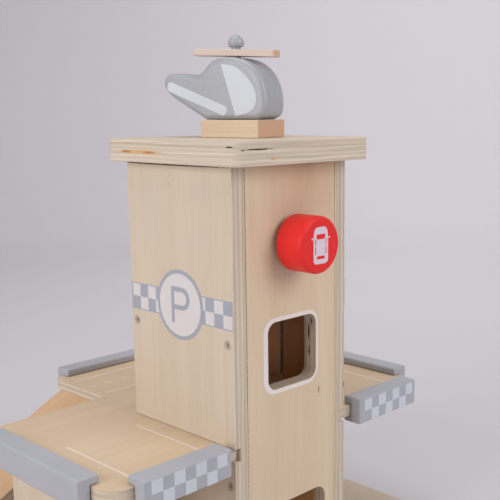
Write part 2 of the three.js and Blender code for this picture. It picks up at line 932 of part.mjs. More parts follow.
const pegHole = new THREE.CylinderGeometry(
  pegNeckRadius + clearance,
  pegNeckRadius + clearance,
  pegDepth + overrun + clearance,
  shaftSides,
);
pegHole.rotateX(quarterTurn).translate(pegX, 0, (pegFoot - clearance + bodyTop + overrun) / 2);
helicopter.add(piece("helicopter_body", cut(bodyPlain, [pegHole]), greyPaint));

// The peg has a turned neck and a round head, and the rotor turns on its neck
const headLow = rotorHigh + pegNeckShow;
const pegProfile = [
  [0, pegFoot],
  [pegNeckRadius, pegFoot],
  [pegNeckRadius, headLow],
];
for (let i = 0; i <= curveSides; i++) {
  const angle = (quarterTurn * i) / curveSides;
  const domeHeight = pegHeadHeight * Math.sin(angle);
  pegProfile.push([pegHeadRadius * Math.cos(angle), headLow + domeHeight]);
}
const peg = turned(pegProfile, shaftSides).rotateX(quarterTurn).translate(pegX, 0, 0);
helicopter.add(piece("rotor_peg", peg, greyPaint));

const rotorPlan = roundedRectangle(
  [-rotorLength / 2, rotorLength / 2],
  [-rotorWidth / 2, rotorWidth / 2],
  evenCorners(rotorCornerRadius),
);
const rotorHole = new THREE.Path();
rotorHole.absarc(0, 0, pegNeckRadius + 2 * clearance, 0, 2 * Math.PI, true);
rotorPlan.holes.push(rotorHole);
const rotor = piece("rotor_bar", lying(rotorPlan, rotorThick), beech);
rotor.position.set(pegX, 0, rotorLow);
rotor.rotation.z = rotorTurn * degree;
helicopter.add(rotor);

const garage = new THREE.Group();
garage.add(baseBoard, rightWall, leftWall, rampWall, rampBoard, deckPlate);
for (const [name, kerb] of Object.entries(kerbs)) garage.add(kerbPiece(name, kerb));
garage.add(sidePanel("left"), sidePanel("right"), frontPanel, rearPanel, roofBoard);
garage.add(...dowelPieces);
for (const screw of screws) garage.add(piece(screw.name, screwGeometry(screw), steel));
garage.add(lift, drive, helicopter);

export default garage;
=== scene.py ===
# %% [markdown]
# # A wooden toy parking garage with a lift
# The toy is a tower of birch plywood panels with a hand-wound lift, an upper parking deck edged
# with grey kerbs, a ramp down to a base board, and a small helicopter on the roof. The packed
# model already holds every piece at its real size, so this lesson only gives them their looks:
# sanded edges, plywood that shows its layers, satin paint, screen print, screws and a cotton cord.

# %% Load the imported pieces
import math
import random

import bmesh
import bpy
from mathutils import Matrix, Vector


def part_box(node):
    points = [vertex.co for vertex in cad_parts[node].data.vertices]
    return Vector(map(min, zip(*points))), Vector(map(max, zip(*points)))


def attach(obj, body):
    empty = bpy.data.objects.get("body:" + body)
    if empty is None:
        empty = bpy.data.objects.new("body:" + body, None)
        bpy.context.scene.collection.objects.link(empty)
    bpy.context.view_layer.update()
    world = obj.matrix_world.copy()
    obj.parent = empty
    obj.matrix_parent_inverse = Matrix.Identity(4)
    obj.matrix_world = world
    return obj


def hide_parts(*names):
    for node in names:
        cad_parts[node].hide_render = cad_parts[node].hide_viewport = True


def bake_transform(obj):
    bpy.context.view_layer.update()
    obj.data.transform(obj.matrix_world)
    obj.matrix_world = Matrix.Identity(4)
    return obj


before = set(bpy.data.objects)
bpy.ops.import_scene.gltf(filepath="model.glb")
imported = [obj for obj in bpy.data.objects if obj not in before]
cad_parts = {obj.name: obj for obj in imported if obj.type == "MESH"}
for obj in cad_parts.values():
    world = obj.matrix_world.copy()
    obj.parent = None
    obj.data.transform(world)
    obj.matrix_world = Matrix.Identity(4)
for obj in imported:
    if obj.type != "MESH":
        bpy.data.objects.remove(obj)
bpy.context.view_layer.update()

print("pieces loaded:", len(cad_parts))

# %% [markdown]
# ## Small helpers
# Everything is in metres, but a toy maker thinks in millimetres, so `MM` turns one into the
# other. Paint and wood colours are written as the hex values that a colour picker gives, and
# `linear` turns them into the light values that a shader wants. `add` places one node, in a
# shader tree or in a geometry tree, and `feed` links or sets its inputs. Round things are drawn
# as rings of points, and `skin` lays the faces between them.

# %% Units, colours, nodes and rings
MM = 0.001
AXES = {"X": 0, "Y": 1, "Z": 2}
full_turn = 2 * math.pi


def linear(hex_colour):
    """The linear colour of an sRGB hex value."""
    parts = [int(hex_colour[i:i + 2], 16) / 255 for i in (1, 3, 5)]
    light = [p / 12.92 if p <= 0.04045 else ((p + 0.055) / 1.055) ** 2.4 for p in parts]
    return (*light, 1.0)


def feed(tree, node, inputs):
    """Links or sets inputs. A node that is given as a value stands for its first output."""
    for key, value in inputs.items():
        if isinstance(value, bpy.types.Node):
            value = next(socket for socket in value.outputs if socket.enabled)
        if isinstance(value, bpy.types.NodeSocket):
            tree.links.new(value, node.inputs[key])
        else:
            node.inputs[key].default_value = value


def add(tree, kind, *values, **settings):
    """One new node, with its input values in order, or in one dictionary by name or number."""
    node = tree.nodes.new(kind if "Node" in kind else "ShaderNode" + kind)
    for name, value in settings.items():
        setattr(node, name, value)
    by_name = values and isinstance(values[0], dict)
    feed(tree, node, values[0] if by_name else dict(enumerate(values)))
    return node


def new_material(name):
    """A new material, with its tree and its main shader."""
    made = bpy.data.materials.new(name)
    made.use_nodes = True
    return made, made.node_tree, made.node_tree.nodes["Principled BSDF"]


def new_tree(name, kind, inputs, outputs):
    """A new node tree whose inputs and outputs are named, and what its inputs give."""
    tree = bpy.data.node_groups.new(name, kind)
    for way, sockets in (("INPUT", inputs), ("OUTPUT", outputs)):
        for socket, value in sockets.items():
            tree.interface.new_socket(socket, in_out=way, socket_type="NodeSocket" + value)
    return tree, add(tree, "NodeGroupInput").outputs


def in_scene(name, data):
    """A new object at the scene's origin."""
    made = bpy.data.objects.new(name, data)
    bpy.context.scene.collection.objects.link(made)
    return made


def ring(shape, radius, height, sides, centre=Vector((0, 0, 0))):
    """Points round the Z axis, or one point on it; the radius may depend on the angle."""
    if radius == 0:
        return [shape.verts.new(centre + Vector((0, 0, height)))]
    points = []
    for k in range(sides):
        angle = full_turn * k / sides
        reach = radius(angle) if callable(radius) else radius
        points.append(shape.verts.new(
            centre + Vector((reach * math.cos(angle), reach * math.sin(angle), height))))
    return points


def skin(shape, rings):
    """Faces from each ring to the next; a ring of one point closes that end."""
    sides = max(len(points) for points in rings)
    for low, high in zip(rings, rings[1:]):
        for k in range(sides):
            j = (k + 1) % sides
            first = [low[0]] if len(low) == 1 else [low[k], low[j]]
            second = [high[0]] if len(high) == 1 else [high[j], high[k]]
            shape.faces.new(first + second)


def middle(node):
    """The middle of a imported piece's box."""
    low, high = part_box(node)
    return (low + high) / 2


print("one millimetre is", MM, "metres")

# %% [markdown]
# ## The camera
# The camera stands a little above the tower's roof, to the left of its front corner, and looks
# slightly down. Its place and lens were found by lining up the tower's edges with the
# photograph. It has no depth of field, because everything in the photograph is sharp.

# %% Camera
camera_place = Vector((-389.05, -534.27, 374.83)) * MM
camera_turn = math.radians(46.06)
camera_drop = math.radians(9.74)
camera_roll = math.radians(-0.39)

ahead = Vector((
    math.sin(camera_turn) * math.cos(camera_drop),
    math.cos(camera_turn) * math.cos(camera_drop),
    -math.sin(camera_drop),
))
level = Vector((math.cos(camera_turn), -math.sin(camera_turn), 0))
upright = level.cross(ahead)
across_view = math.cos(camera_roll) * level + math.sin(camera_roll) * upright
up_view = math.cos(camera_roll) * upright - math.sin(camera_roll) * level

camera = in_scene("camera", bpy.data.cameras.new("camera"))
camera.matrix_world = Matrix((across_view, up_view, -ahead)).transposed().to_4x4()
camera.location = camera_place
camera.data.sensor_width = 36
camera.data.lens = 62.72
camera.data.shift_x = -0.0717
camera.data.shift_y = 0.0228
camera.data.clip_start = 0.02
camera.data.clip_end = 20
bpy.context.scene.camera = camera
print("camera lens", round(camera.data.lens, 1), "mm")

# %% [markdown]
# ## The studio
# The backdrop is one sheet of pale, slightly lilac paper that sweeps up all round, like a bowl,
# so no horizon shows from any side. A plane and a wall would do for one camera, but the toy is
# looked at from all sides. The lights are large and soft: the brightest stands to the left, so
# the tower's left panel is lighter than its front, and one only lights the paper behind.

# %% Backdrop
paper_flat = 1.7
paper_bend = 0.9
paper_height = 2.6
paper_drop = 0.3 * MM
paper_sides = 128
bend_steps = 16


def paper_material():
    """Matt paper, with a breath of unevenness."""
    made, tree, shader = new_material("backdrop paper")
    place = add(tree, "TexCoord").outputs["Object"]
    cloud = add(tree, "TexNoise", {"Vector": place, "Scale": 1.3, "Detail": 2.0})
    tone = add(tree, "Mix", {0: cloud, 6: linear("#cfcbcf"), 7: linear("#d3d0d3")},
               data_type="RGBA")
    feed(tree, shader, {"Base Color": tone, "Roughness": 0.9, "Specular IOR Level": 0.1})
    return made


def sweep_of_paper():
    """A flat round sheet whose rim bends up into a wall."""
    profile = [(0, 0), (paper_flat, 0)]
    for k in range(1, bend_steps + 1):
        angle = math.pi / 2 * k / bend_steps
        profile.append((paper_flat + paper_bend * math.sin(angle),
                        paper_bend * (1 - math.cos(angle))))
    profile.append((paper_flat + paper_bend, paper_height))
    shape = bmesh.new()
    skin(shape, [ring(shape, radius, height, paper_sides) for radius, height in profile[::-1]])
    mesh = bpy.data.meshes.new("backdrop")
    shape.to_mesh(mesh)
    shape.free()
    mesh.transform(Matrix.Translation((0, 0, -paper_drop)))
    mesh.shade_smooth()
    mesh.materials.append(paper_material())
    return in_scene("backdrop", mesh)


sweep_of_paper()
print("backdrop radius", paper_flat + paper_bend, "m")

# %% Lights
toy_middle = (0.05, -0.04, 0.24)


def softbox(name, place, target, width, power):
    """A large square white light that faces a target and isn't seen itself."""
    lamp = bpy.data.lights.new(name, "AREA")
    lamp.shape = "SQUARE"
    lamp.size = width
    lamp.energy = power
    holder = in_scene(name, lamp)
    holder.location = place
    aim = Vector(target) - Vector(place)
    holder.rotation_euler = aim.to_track_quat("-Z", "Y").to_euler()
    holder.visible_camera = False


softbox("key light", (-1.55, 0.05, 0.75), toy_middle, 1.0, 15.5)
softbox("front light", (0.5, -1.5, 1.0), toy_middle, 1.0, 12.5)
softbox("top light", (-0.1, 0.1, 1.9), toy_middle, 1.2, 10.5)
softbox("paper light", (1.2, 0.6, 1.6), (2.5, 1.1, 0.3), 0.8, 12)

world = bpy.data.worlds.new("studio air")
bpy.context.scene.world = world
world.use_nodes = True
feed(world.node_tree, world.node_tree.nodes["Background"],
     {"Color": linear("#efeef1"), "Strength": 0.42})
bpy.context.scene.view_settings.view_transform = "Standard"
bpy.context.scene.view_settings.look = "None"

# %% [markdown]
# ## Birch plywood
# Plywood is thin birch veneers glued with the grain crossed, then sanded and given a clear matt
# lacquer. Its faces show one pale veneer with long soft figure; its edges show the stack, light
# where a veneer's grain runs along the edge and darker where the fibres end in it. An image
# would have to be fitted to each panel. Here the wood is solid instead: one node group works out,
# for any point inside a board, which veneer it lies in and which way that veneer's grain runs,
# so a rounded edge, a screw hole or a window cuts through the layers as a tool does.

# %% Node group: the veneers of a board
face_veneer = 0.9
glue_line = 0.26


def veneer_group():
    """Place and Facing are in the board's own axes: along its face grain, across it, through."""
    tree, given = new_tree(
        "birch veneers", "ShaderNodeTree",
        {"Place": "Vector", "Facing": "Vector", "Thickness": "Float", "Plies": "Float",
         "Seed": "Float", "Pale": "Color", "Deep": "Color"},
        {"Color": "Color", "Height": "Float", "Roughness": "Float"})
    place = given["Place"]
    split = add(tree, "SeparateXYZ", place).outputs

    # No press gives dead straight layers, so the depth wanders by some tenths of a millimetre.
    drift = add(tree, "VectorMath", place, (0.022, 0.022, 0.07), operation="MULTIPLY")
    wander = add(tree, "TexNoise", {"Vector": drift, "Scale": 1.0, "Detail": 1.0})
    shift = add(tree, "Math", wander, 2.2, -1.1, operation="MULTIPLY_ADD")
    depth = add(tree, "Math", split[2], shift, operation="ADD")

    core = add(tree, "Math", given["Thickness"], 2 * face_veneer, operation="SUBTRACT")
    inner = add(tree, "Math", given["Plies"], 2.0, operation="SUBTRACT")
    ply = add(tree, "Math", core, inner, operation="DIVIDE")
    below = add(tree, "Math", depth, face_veneer, operation="SUBTRACT")
    steps = add(tree, "Math", below, ply, operation="DIVIDE")
    whole = add(tree, "Math", steps, operation="FLOOR")
    up = add(tree, "Math", whole, 1.0, operation="ADD")
    kept = add(tree, "Math", up, 0.0, operation="MAXIMUM")
    last = add(tree, "Math", given["Plies"], 1.0, operation="SUBTRACT")
    layer = add(tree, "Math", kept, last, operation="MINIMUM")
    crossed = add(tree, "Math", layer, 2.0, operation="MODULO")
    near = add(tree, "Math", steps, 0.5, operation="PINGPONG")
    gap = add(tree, "Math", near, ply, operation="MULTIPLY")
    glue = add(tree, "MapRange", gap, 0.04, glue_line, 1.0, 0.0)

    # Each veneer is peeled from another log, so its pattern starts somewhere else.
    serial = add(tree, "Math", given["Seed"], 13.7, layer, operation="MULTIPLY_ADD")
    dice = add(tree, "TexWhiteNoise", {"W": serial}, noise_dimensions="1D")
    jump = add(tree, "VectorMath", dice.outputs["Color"], (400, 400, 400), operation="MULTIPLY")
    turned_place = add(tree, "CombineXYZ", split[1], split[0], split[2])
    grain_axes = add(tree, "Mix", {0: crossed, 4: place, 5: turned_place}, data_type="VECTOR")
    grain = add(tree, "VectorMath", grain_axes, jump, operation="ADD")

    def stretched(along, across, detail, distortion=0.0):
        """Noise drawn out along the veneer's own grain; the numbers are cycles per millimetre."""
        spread = add(tree, "VectorMath", grain, (along, across, across), operation="MULTIPLY")
        return add(tree, "TexNoise", {"Vector": spread, "Scale": 1.0, "Detail": detail,
                                      "Distortion": distortion})

    # Real birch fibres are finer than these, but a finer pattern would not show.
    figure = stretched(0.0035, 0.06, 3.0, 0.6)
    streak = stretched(0.007, 0.30, 3.0)
    fibre = stretched(0.045, 1.9, 3.0)
    fleck = stretched(0.35, 3.2, 1.0)
    cloud = add(tree, "TexNoise", {"Vector": place, "Scale": 0.014, "Detail": 2.0})
    sliced = add(tree, "VectorMath", place, (0.012, 0.012, 1.0), operation="MULTIPLY")
    strand = add(tree, "TexNoise", {"Vector": sliced, "Scale": 1.0, "Detail": 3.0})

    facing = add(tree, "VectorMath", given["Facing"], operation="ABSOLUTE")
    faces = add(tree, "SeparateXYZ", facing).outputs
    edge = add(tree, "MapRange", faces[2], 0.35, 0.85, 1.0, 0.0)
    fibre_end = add(tree, "Mix", {0: crossed, 2: faces[0], 3: faces[1]})

    broad = add(tree, "MapRange", figure, 0.3, 0.7, 0.0, 1.0)
    face_tone = add(tree, "Mix", {0: broad, 6: given["Deep"], 7: given["Pale"]}, data_type="RGBA")
    blush = add(tree, "MapRange", cloud, 0.35, 0.65, 0.0, 0.3)
    warm = add(tree, "Mix", {0: blush, 6: face_tone, 7: linear("#d9bfa4")}, data_type="RGBA")
    lines = add(tree, "MapRange", streak, 0.52, 0.74, 0.0, 0.11)
    lined = add(tree, "Mix", {0: lines, 6: warm, 7: linear("#b99f7c")}, data_type="RGBA")

    long_side = add(tree, "Mix", {0: dice, 6: linear("#d9ccb9"), 7: linear("#cfc1ad")},
                    data_type="RGBA")
    end_side = add(tree, "Mix", {0: dice, 6: linear("#cfc0ab"), 7: linear("#c3b39c")},
                   data_type="RGBA")
    stack = add(tree, "Mix", {0: fibre_end, 6: long_side, 7: end_side}, data_type="RGBA")
    glue_colour = add(tree, "Mix", {0: dice, 6: linear("#e4dac4"), 7: linear("#87755a")},
                      data_type="RGBA")
    glue_share = add(tree, "Math", glue, 0.34, operation="MULTIPLY")
    glued = add(tree, "Mix", {0: glue_share, 6: stack, 7: glue_colour}, data_type="RGBA")
    strands = add(tree, "MapRange", strand, 0.3, 0.7, 0.84, 1.12)
    layered = add(tree, "VectorMath", {0: glued, 3: strands}, operation="SCALE")
    wood = add(tree, "Mix", {0: edge, 6: lined, 7: layered}, data_type="RGBA")

    pores = add(tree, "MapRange", fibre, 0.25, 0.75, 0.965, 1.025)
    dots = add(tree, "MapRange", fleck, 0.3, 0.7, 0.98, 1.015)
    shade = add(tree, "Math", pores, dots, operation="MULTIPLY")
    final = add(tree, "VectorMath", {0: wood, 3: shade}, operation="SCALE")

    carved = add(tree, "Math", glue, edge, operation="MULTIPLY")
    height = add(tree, "Math", carved, -0.6, fibre, operation="MULTIPLY_ADD")
    gloss = add(tree, "MapRange", fibre, 0.3, 0.7, 0.56, 0.46)
    add(tree, "NodeGroupOutput", {"Color": final, "Height": height, "Roughness": gloss})
    return tree


birch_veneers = veneer_group()
print("veneer group nodes:", len(birch_veneers.nodes))

# %% [markdown]
# Each board has its own plywood: which way it is thick, which way its face grain runs, and how
# many veneers it has. The board's box in the imported model gives its place, so the outer veneers
# always lie on its faces. The ramp is turned, so its axes are turned back first. `marks` are the
# flaws that real plywood has, a knot, or a dark slit where a core veneer fell short, and also
# painted shadows along joints and under the roof. The sides that face into the tower are painted
# browner, as painted shade with the warm light bounced inside the tower.

# %% Plywood for one board
bump_height = 0.05 * MM
cream_birch = ("#d5c7b4", "#cebfaa")
peach_birch = ("#decaae", "#d6bfa1")
amber_birch = ("#d6c0a3", "#cfb596")
# A darker tan: partly the wood, partly painted shade, since the ramp lies in shade; the lift floor
# shares it.
shaded_tan_birch = ("#cfaa84", "#c49c74")
# The cheeks' deep brown is painted shade, with the warm light bounced inside the tower.
cheek_shade_birch = ("#c08549", "#b2773e")
# The tower's inner faces are painted browner: painted shade, with the warm light bounced inside.
inner_shade_birch = "#dca768"


def plywood(node, through, along, plies, tones=cream_birch, thickness=None, tilt=0.0,
            origin=None, marks=(), blushes=(), hidden=None):
    """Clear-lacquered birch plywood for a board; its `hidden` side is browner as painted shade."""
    low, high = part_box(node)
    origin = low if origin is None else origin
    thickness = (high - low)[AXES[through]] if thickness is None else thickness
    made, tree, shader = new_material("plywood " + node)
    coordinates = add(tree, "TexCoord").outputs
    start = -(Matrix.Rotation(tilt, 3, "Y") @ Vector(origin)) / MM
    spot = add(tree, "Mapping", {"Vector": coordinates["Object"], "Location": start,
                                 "Rotation": (0, tilt, 0), "Scale": [1 / MM] * 3})
    facing = add(tree, "Mapping", {"Vector": coordinates["Normal"], "Rotation": (0, tilt, 0)},
                 vector_type="VECTOR")
    side = ({"X", "Y", "Z"} - {through, along}).pop()
    ordered = []
    for vector in (spot, facing):
        parts = add(tree, "SeparateXYZ", vector).outputs
        ordered.append(add(tree, "CombineXYZ", *[parts[AXES[a]] for a in (along, side, through)]))
    group = add(tree, "Group", {
        "Place": ordered[0], "Facing": ordered[1], "Thickness": thickness / MM, "Plies": plies,
        "Seed": sum(ord(letter) for letter in node) % 97, "Pale": linear(tones[0]),
        "Deep": linear(tones[1])}, node_tree=birch_veneers)
    colour = group.outputs["Color"]
    # Faces turned into the tower are painted browner, as shade.
    if hidden:
        turned_away = add(tree, "VectorMath", coordinates["Normal"], hidden,
                          operation="DOT_PRODUCT")
        inside = add(tree, "MapRange", turned_away, 0.8, 0.95, 0.0, 0.85)
        colour = add(tree, "Mix", {0: inside, 6: colour, 7: linear(inner_shade_birch)},
                     data_type="RGBA")
    for blush in blushes:
        colour = marked(tree, colour, coordinates["Object"], *blush, ragged=0.0, rim=(0.0, 1.0),
                        strength=0.6)
    for mark in marks:
        colour = marked(tree, colour, coordinates["Object"], *mark)
    bump = add(tree, "Bump", {"Height": group.outputs["Height"], "Strength": 0.3,
                              "Distance": bump_height})
    feed(tree, shader, {"Base Color": colour, "Roughness": group.outputs["Roughness"],
                        "Normal": bump, "Specular IOR Level": 0.35})
    return made


def marked(tree, colour, coordinates, place, reach, tint, ragged=0.9, rim=(1.0, 1.35),
           strength=1.0):
    """A soft-edged flaw or painted shadow round a place, as long as its reach on each axis."""
    away = add(tree, "VectorMath", coordinates, Vector(place) * MM, operation="SUBTRACT")
    unit = add(tree, "VectorMath", away, Vector(reach) * MM, operation="DIVIDE")
    distance = add(tree, "VectorMath", unit, operation="LENGTH")
    crumbs = add(tree, "TexNoise", {"Vector": coordinates, "Scale": 0.9 / MM, "Detail": 2.0})
    ragged_distance = add(tree, "Math", crumbs, ragged, distance, operation="MULTIPLY_ADD")
    share = add(tree, "MapRange", ragged_distance, rim[0], rim[1], strength, 0.0)
    return add(tree, "Mix", {0: share, 6: colour, 7: linear(tint)}, data_type="RGBA")


print("plywood bump", bump_height / MM, "mm")

# %% [markdown]
# ## Beech, paint, ink, steel and cotton
# The stand, the rotor and the turned parts are beech: pinkish, straight in the grain, with the
# short dark flecks that beech always has. The grey and red pieces carry a water-based satin
# paint, sprayed thin enough that its skin is faintly rippled. The white and grey prints are
# screen-printed ink, thin enough for the ground below to tint it: warm on wood, cool on grey
# paint, rosy on red. The screws are zinc-plated steel, and the cord is cotton.

# %% Beech
# Real beech pores are much finer than this: the grain is as coarse as it needs to show.
grain_pitch = 1.4 * MM
fleck_pitch = 0.8 * MM
fleck_length = 2.2
end_grain = "#cfa98a"


def beech_material(name, along, tint, dark, turn=0.0):
    """Clear-lacquered beech: its grain runs along one axis of the piece, which may be turned."""
    made, tree, shader = new_material(name)
    coordinates = add(tree, "TexCoord").outputs
    place = add(tree, "Mapping", {"Vector": coordinates["Object"], "Rotation": (0, 0, -turn)})
    facing = add(tree, "Mapping", {"Vector": coordinates["Normal"], "Rotation": (0, 0, -turn)},
                 vector_type="VECTOR")
    drawn = [0.04 if axis == along else 1.0 for axis in "XYZ"]
    short = [0.8 / fleck_length if axis == along else 1.0 for axis in "XYZ"]
    fibre_place = add(tree, "VectorMath", place, drawn, operation="MULTIPLY")
    fleck_place = add(tree, "VectorMath", place, short, operation="MULTIPLY")
    fibre = add(tree, "TexNoise", {"Vector": fibre_place, "Detail": 4.0,
                                   "Scale": 1 / grain_pitch})
    broad = add(tree, "TexNoise", {"Vector": fibre_place, "Detail": 2.0,
                                   "Scale": 1 / (6 * grain_pitch)})
    fleck = add(tree, "TexNoise", {"Vector": fleck_place, "Detail": 0.0,
                                   "Scale": 1 / fleck_pitch})
    flecks = add(tree, "MapRange", fleck, 0.66, 0.76, 0.0, 0.22)
    tone = add(tree, "MapRange", broad, 0.35, 0.65, 0.0, 1.0)
    base = add(tree, "Mix", {0: tone, 6: linear(tint), 7: linear(dark)}, data_type="RGBA")
    dotted = add(tree, "Mix", {0: flecks, 6: base, 7: linear("#bd9070")}, data_type="RGBA")
    lengthwise = add(tree, "SeparateXYZ", facing).outputs[AXES[along]]
    end = add(tree, "Math", lengthwise, operation="ABSOLUTE")
    ends = add(tree, "MapRange", end, 0.5, 0.95, 0.0, 1.0)
    cut = add(tree, "Mix", {0: ends, 6: dotted, 7: linear(end_grain)}, data_type="RGBA")
    pores = add(tree, "MapRange", fibre, 0.3, 0.7, 0.94, 1.04)
    final = add(tree, "VectorMath", {0: cut, 3: pores}, operation="SCALE")
    bump = add(tree, "Bump", {"Height": fibre, "Strength": 0.4, "Distance": bump_height})
    feed(tree, shader, {"Base Color": final, "Normal": bump, "Roughness": 0.5,
                        "Specular IOR Level": 0.4})
    return made


heli_turn = math.radians(-76)
rotor_turn = heli_turn + math.radians(9)
beech_stand = beech_material("beech of the stand", "X", "#dbc6ab", "#d2b797", heli_turn)
beech_rotor = beech_material("beech of the rotor", "X", "#dccabe", "#d3bdad", rotor_turn)
beech_deep = beech_material("beech along Y", "Y", "#dcc4a6", "#d2b592")
beech_upright = beech_material("beech along Z", "Z", "#dcc4a6", "#d2b592")
print("beech fleck", fleck_length, "mm")

# %% Satin paint and ink
# Both patterns are finer on real paint, and are drawn as coarse as they need to show.
ripple_size = 1.1
wood_under_paint = 0.9


def coated(name, tint, roughness, ripple=0.015, grain_axis="X", uneven=0.03, shine=0.5):
    """A thin satin coat of paint or ink on sanded wood: even in colour, with a rippled skin."""
    made, tree, shader = new_material(name)
    place = add(tree, "TexCoord").outputs["Object"]
    skin_noise = add(tree, "TexNoise", {"Vector": place, "Scale": 1 / (ripple_size * MM),
                                        "Detail": 2.0})
    drawn = [0.05 if axis == grain_axis else 1.0 for axis in "XYZ"]
    wood_place = add(tree, "VectorMath", place, drawn, operation="MULTIPLY")
    wood = add(tree, "TexNoise", {"Vector": wood_place, "Detail": 3.0,
                                  "Scale": 1 / (wood_under_paint * MM)})
    cloud = add(tree, "TexNoise", {"Vector": place, "Scale": 22.0, "Detail": 2.0})
    light = add(tree, "MapRange", cloud, 0.3, 0.7, 1 - uneven, 1 + uneven)
    tone = add(tree, "MapRange", wood, 0.3, 0.7, 0.985, 1.015)
    shade = add(tree, "Math", light, tone, operation="MULTIPLY")
    colour = add(tree, "VectorMath", {0: linear(tint)[:3], 3: shade}, operation="SCALE")
    gloss = add(tree, "MapRange", skin_noise, 0.3, 0.7, roughness - 0.04, roughness + 0.04)
    height = add(tree, "Math", wood, 0.5, skin_noise, operation="MULTIPLY_ADD")
    bump = add(tree, "Bump", {"Height": height, "Strength": 0.5, "Distance": ripple * MM})
    feed(tree, shader, {"Base Color": colour, "Roughness": gloss, "Normal": bump,
                        "Specular IOR Level": shine})
    return made


grey_paint = coated("grey satin paint", "#aaacb3", 0.40, ripple=0.03)
helicopter_paint = coated("grey satin paint, helicopter", "#a3a5ab", 0.3)
red_paint = coated("red satin paint", "#e52e2c", 0.38, ripple=0.02, uneven=0.02, shine=0.22)
white_ink = coated("white print on wood", "#d8d2d1", 0.45, grain_axis="Z")
# The print round the window is the same white ink, made lighter as painted light on the front face.
lightened_border_ink = coated("white print round the window, lightened as painted light", "#e8deda", 0.45, grain_axis="Z")
grey_ink = coated("grey print on wood", "#a3a6b1", 0.45, grain_axis="Z")
deck_ink = coated("thin white print on the deck", "#e2d3c8", 0.5)
cool_ink = coated("white print on grey paint", "#cbd0d7", 0.4)
knob_ink = coated("white print on red paint", "#dfcdd8", 0.4)
print("paint ripple", ripple_size, "mm")

# %% Zinc-plated steel and cotton


def steel_material():
    """Zinc plate on steel: grey, half dull, rubbed brighter here and there."""
    made, tree, shader = new_material("dulled zinc plate")
    place = add(tree, "TexCoord").outputs["Object"]
    rub = add(tree, "TexNoise", {"Vector": place, "Scale": 1 / (0.7 * MM), "Detail": 3.0})
    bright = add(tree, "MapRange", rub, 0.5, 0.75, 0.0, 1.0)
    colour = add(tree, "Mix", {0: bright, 6: linear("#c9c1b9"), 7: linear("#e2dcd4")},
                 data_type="RGBA")
    gloss = add(tree, "MapRange", rub, 0.3, 0.7, 0.6, 0.48)
    feed(tree, shader, {"Base Color": colour, "Roughness": gloss, "Metallic": 1.0})
    return made


def cotton_material():
    """Soft twisted cotton, with fine loose fibres in its shading."""
    made, tree, shader = new_material("twisted cotton")
    place = add(tree, "TexCoord").outputs["Object"]
    fuzz = add(tree, "TexNoise", {"Vector": place, "Scale": 1 / (0.25 * MM), "Detail": 3.0})
    colour = add(tree, "Mix", {0: fuzz, 6: linear("#d8d1c3"), 7: linear("#f1ece1")},
                 data_type="RGBA")
    bump = add(tree, "Bump", {"Height": fuzz, "Strength": 0.6, "Distance": 0.1 * MM})
    feed(tree, shader, {"Base Color": colour, "Normal": bump, "Roughness": 0.9,
                        "Sheen Weight": 0.3})
    return made


zinc_steel = steel_material()
cotton = cotton_material()
print("materials so far:", len(bpy.data.materials))

# %% [markdown]
# ## Sanded boards
# Every board leaves the saw with sharp edges, and sandpaper then takes them off by about half a
# millimetre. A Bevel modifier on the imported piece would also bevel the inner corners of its
# grooves, which sandpaper doesn't reach. So each board is copied, its loose triangles are merged
# into whole faces, and only its outer edges are rounded. The mouths of screw holes stay crisp.

# %% Pieces and their finish
crisp_angle = math.radians(40)


def piece(name, mesh, material, body, replaced=()):
    """A finished piece: it rides on its body, takes its material and hides what it stands for."""
    made = in_scene(name, mesh)
    mesh.materials.clear()
    mesh.materials.append(material)
    made.modifiers.new("even shading", "WEIGHTED_NORMAL").keep_sharp = True
    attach(made, body)
    if replaced:
        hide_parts(*replaced)
    return made


def smooth_mesh(name, shape):
    """A mesh that is shaded smooth except where two faces meet at a crisp corner."""
    for face in shape.faces:
        face.smooth = True
    for edge in shape.edges:
        if len(edge.link_faces) == 2 and edge.calc_face_angle(0) > crisp_angle:
            edge.smooth = False
    mesh = bpy.data.meshes.new(name)
    shape.to_mesh(mesh)
    shape.free()
    return mesh


def closed_mesh(name, shape, place=Matrix()):
    """A closed shape in millimetres, moved to its place with its faces outwards."""
    bmesh.ops.transform(shape, matrix=place @ Matrix.Scale(MM, 4), verts=shape.verts)
    bmesh.ops.recalc_face_normals(shape, faces=shape.faces)
    return smooth_mesh(name, shape)


screw_nodes = [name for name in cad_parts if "screw" in name]
screw_middles = [middle(name) for name in screw_nodes]
screw_reach = 17.5 * MM
hole_side = 3.2 * MM


def beside_screw(edge):
    """True for the short edges that ring a screw hole."""
    place = (edge.verts[0].co + edge.verts[1].co) / 2
    return edge.calc_length() <= hole_side and any(
        (place - spot).length < screw_reach for spot in screw_middles)


def in_plane(edge, axis, level):
    """True for an edge that lies wholly in one plane across an axis."""
    return all(abs(v.co[AXES[axis]] - level) < 0.02 * MM for v in edge.verts)


def sanded(node, radius, segments=3, crisp_plane=None):
    """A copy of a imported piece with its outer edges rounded, but not those in `crisp_plane`."""
    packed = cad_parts[node].data
    shape = bmesh.new()
    corners = [shape.verts.new(v.co) for v in packed.vertices]
    for face in packed.polygons:
        shape.faces.new([corners[i] for i in face.vertices])
    bmesh.ops.remove_doubles(shape, verts=shape.verts, dist=0.01 * MM)
    bmesh.ops.dissolve_limit(shape, angle_limit=math.radians(1), verts=shape.verts,
                             edges=shape.edges)
    outer = [e for e in shape.edges
             if len(e.link_faces) == 2 and e.is_convex and e.calc_face_angle() > crisp_angle
             and not beside_screw(e) and not (crisp_plane and in_plane(e, *crisp_plane))]
    bmesh.ops.bevel(shape, geom=outer, offset=radius * MM, offset_type="OFFSET",
                    segments=segments, profile=0.5, affect="EDGES", clamp_overlap=True)
    return smooth_mesh(node + " sanded", shape)


print("screws:", len(screw_nodes))

# %% Boards of the base, the deck and the walls


